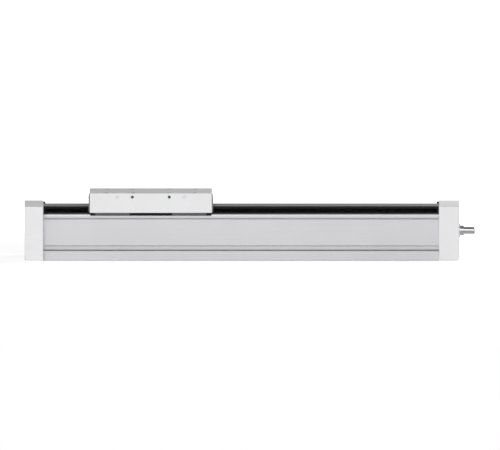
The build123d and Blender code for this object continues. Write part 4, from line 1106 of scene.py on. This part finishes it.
class MODULE_OT_stage(bpy.types.Operator):
    """Sets the floor, the white surround, the lights and the camera"""

    bl_idname = "module.stage"
    bl_label = "Studio"

    def execute(self, context):
        self.floor(context.scene.module_stage)
        self.surround(context.scene)
        self.lights(context.scene.module_stage)
        self.camera(context.scene)
        return {"FINISHED"}

    def floor(self, stage):
        """A pale floor, white to the camera and in reflections but for the soft shadow near the module."""
        clear_selection()
        bpy.ops.mesh.primitive_plane_add(size=FLOOR_SIZE, location=(0, 0, 0))
        floor = bpy.context.active_object
        floor.name = "floor"
        material = bpy.data.materials.new("pale_floor")
        material.use_nodes = True
        tree = material.node_tree
        tree.nodes.clear()
        place = add(tree, "ShaderNodeTexCoord")
        away = add(tree, "ShaderNodeVectorMath", {0: place.outputs["Object"]}, operation="LENGTH")
        lifted = add(
            tree, "ShaderNodeMapRange",
            {"Value": away.outputs["Value"], "From Min": SHADOW_REACH[0], "From Max": SHADOW_REACH[1],
             "To Min": stage.floor_lift, "To Max": 1.0},
        )
        seen = add(
            tree, "ShaderNodeMath",
            {0: self.seen(tree, stage.mirrored_floor), 1: lifted.outputs["Result"]}, operation="MULTIPLY",
        )
        paint = add(tree, "ShaderNodeBsdfDiffuse", {"Color": linear(FLOOR_COLOUR)})
        lift = add(tree, "ShaderNodeEmission", {"Color": (1, 1, 1, 1), "Strength": seen.outputs["Value"]})
        both = add(tree, "ShaderNodeAddShader")
        tree.links.new(paint.outputs["BSDF"], both.inputs[0])
        tree.links.new(lift.outputs["Emission"], both.inputs[1])
        add(tree, "ShaderNodeOutputMaterial", {"Surface": both.outputs["Shader"]})
        floor.data.materials.append(material)

    def seen(self, tree, mirrored_share):
        """1 for what the camera sees straight or through glass, less in reflections, and 0 for lighting."""
        path = add(tree, "ShaderNodeLightPath")
        mirrored = add(
            tree, "ShaderNodeMath",
            {0: path.outputs["Is Glossy Ray"], 1: mirrored_share}, operation="MULTIPLY",
        )
        either = add(
            tree, "ShaderNodeMath",
            {0: path.outputs["Is Camera Ray"], 1: mirrored.outputs["Value"]}, operation="MAXIMUM",
        )
        every = add(
            tree, "ShaderNodeMath",
            {0: either.outputs["Value"], 1: path.outputs["Is Transmission Ray"]}, operation="MAXIMUM",
        )
        return every.outputs["Value"]

    def surround(self, scene):
        """An even white room: white where it is seen, dimmer where it only lights."""
        stage = scene.module_stage
        world = bpy.data.worlds.new("white_room")
        scene.world = world
        world.use_nodes = True
        tree = world.node_tree
        tree.nodes.clear()
        strength = add(
            tree, "ShaderNodeMapRange",
            {"Value": self.seen(tree, stage.mirrored_room), "To Min": stage.room_light, "To Max": 1.0},
        )
        sky = add(
            tree, "ShaderNodeBackground", {"Color": (1, 1, 1, 1), "Strength": strength.outputs["Result"]},
        )
        add(tree, "ShaderNodeOutputWorld", {"Surface": sky.outputs["Background"]})

    def lights(self, stage):
        """A large soft light in front, a smaller one over the drive end, a weak one near the idle end."""
        self.area("front_light", stage.front_light, *FRONT_LAMP)
        self.area("right_light", stage.right_light, *RIGHT_LAMP)
        self.area("left_light", stage.left_light, *LEFT_LAMP)

    def area(self, name, power, place, width):
        """A square soft light that looks at the module's middle."""
        clear_selection()
        bpy.ops.object.light_add(type="AREA", location=place)
        lamp = bpy.context.active_object
        lamp.name = name
        lamp.data.energy = power
        lamp.data.size = width
        aim = Vector((0, 0, AXIS_Z)) - Vector(place)
        lamp.rotation_euler = aim.to_track_quat("-Z", "Y").to_euler()

    def camera(self, scene):
        """A parallel view from the front, a little above the module: the photo has no vanishing lines."""
        stage = scene.module_stage
        target = Vector((stage.picture_x, 0, stage.picture_z))
        back = Vector((0, -math.cos(stage.elevation), math.sin(stage.elevation)))
        clear_selection()
        bpy.ops.object.camera_add(location=target + back * stage.distance)
        camera = bpy.context.active_object
        camera.rotation_euler = (-back).to_track_quat("-Z", "Y").to_euler()
        camera.data.type = "ORTHO"
        camera.data.ortho_scale = stage.picture_width
        scene.camera = camera
        scene.view_settings.view_transform = "Standard"


class MODULE_PT_panel(bpy.types.Panel):
    """Lists the steps that dress the module"""

    bl_idname = "MODULE_PT_panel"
    bl_label = "Linear module"
    bl_space_type = "VIEW_3D"
    bl_region_type = "UI"
    bl_category = "Linear module"

    def draw(self, context):
        for step in STEPS:
            self.layout.operator(step.bl_idname)


GROUPS = {"module_sizes": ModuleSizes, "module_finishes": ModuleFinishes, "module_stage": ModuleStage}
STEPS = (
    MODULE_OT_inner_parts,
    MODULE_OT_frame,
    MODULE_OT_end_blocks,
    MODULE_OT_carriage,
    MODULE_OT_seals,
    MODULE_OT_ball_screw,
    MODULE_OT_end_block_screws,
    MODULE_OT_cover_screws,
    MODULE_OT_set_screws,
    MODULE_OT_tapped_holes,
    MODULE_OT_access_plugs,
    MODULE_OT_stage,
)


def register():
    for name, group in GROUPS.items():
        bpy.utils.register_class(group)
        setattr(bpy.types.Scene, name, bpy.props.PointerProperty(type=group))
    for step in STEPS:
        bpy.utils.register_class(step)
    bpy.utils.register_class(MODULE_PT_panel)


def unregister():
    bpy.utils.unregister_class(MODULE_PT_panel)
    for step in reversed(STEPS):
        bpy.utils.unregister_class(step)
    for name, group in GROUPS.items():
        delattr(bpy.types.Scene, name)
        bpy.utils.unregister_class(group)


def main():
    register()
    bpy.ops.module.inner_parts()
    bpy.ops.module.frame()
    bpy.ops.module.end_blocks()
    bpy.ops.module.carriage()
    bpy.ops.module.seals()
    bpy.ops.module.ball_screw()
    bpy.ops.module.end_block_screws()
    bpy.ops.module.cover_screws()
    bpy.ops.module.set_screws()
    bpy.ops.module.tapped_holes()
    bpy.ops.module.access_plugs()
    bpy.ops.module.stage()


if __name__ == "__main__":
    main()
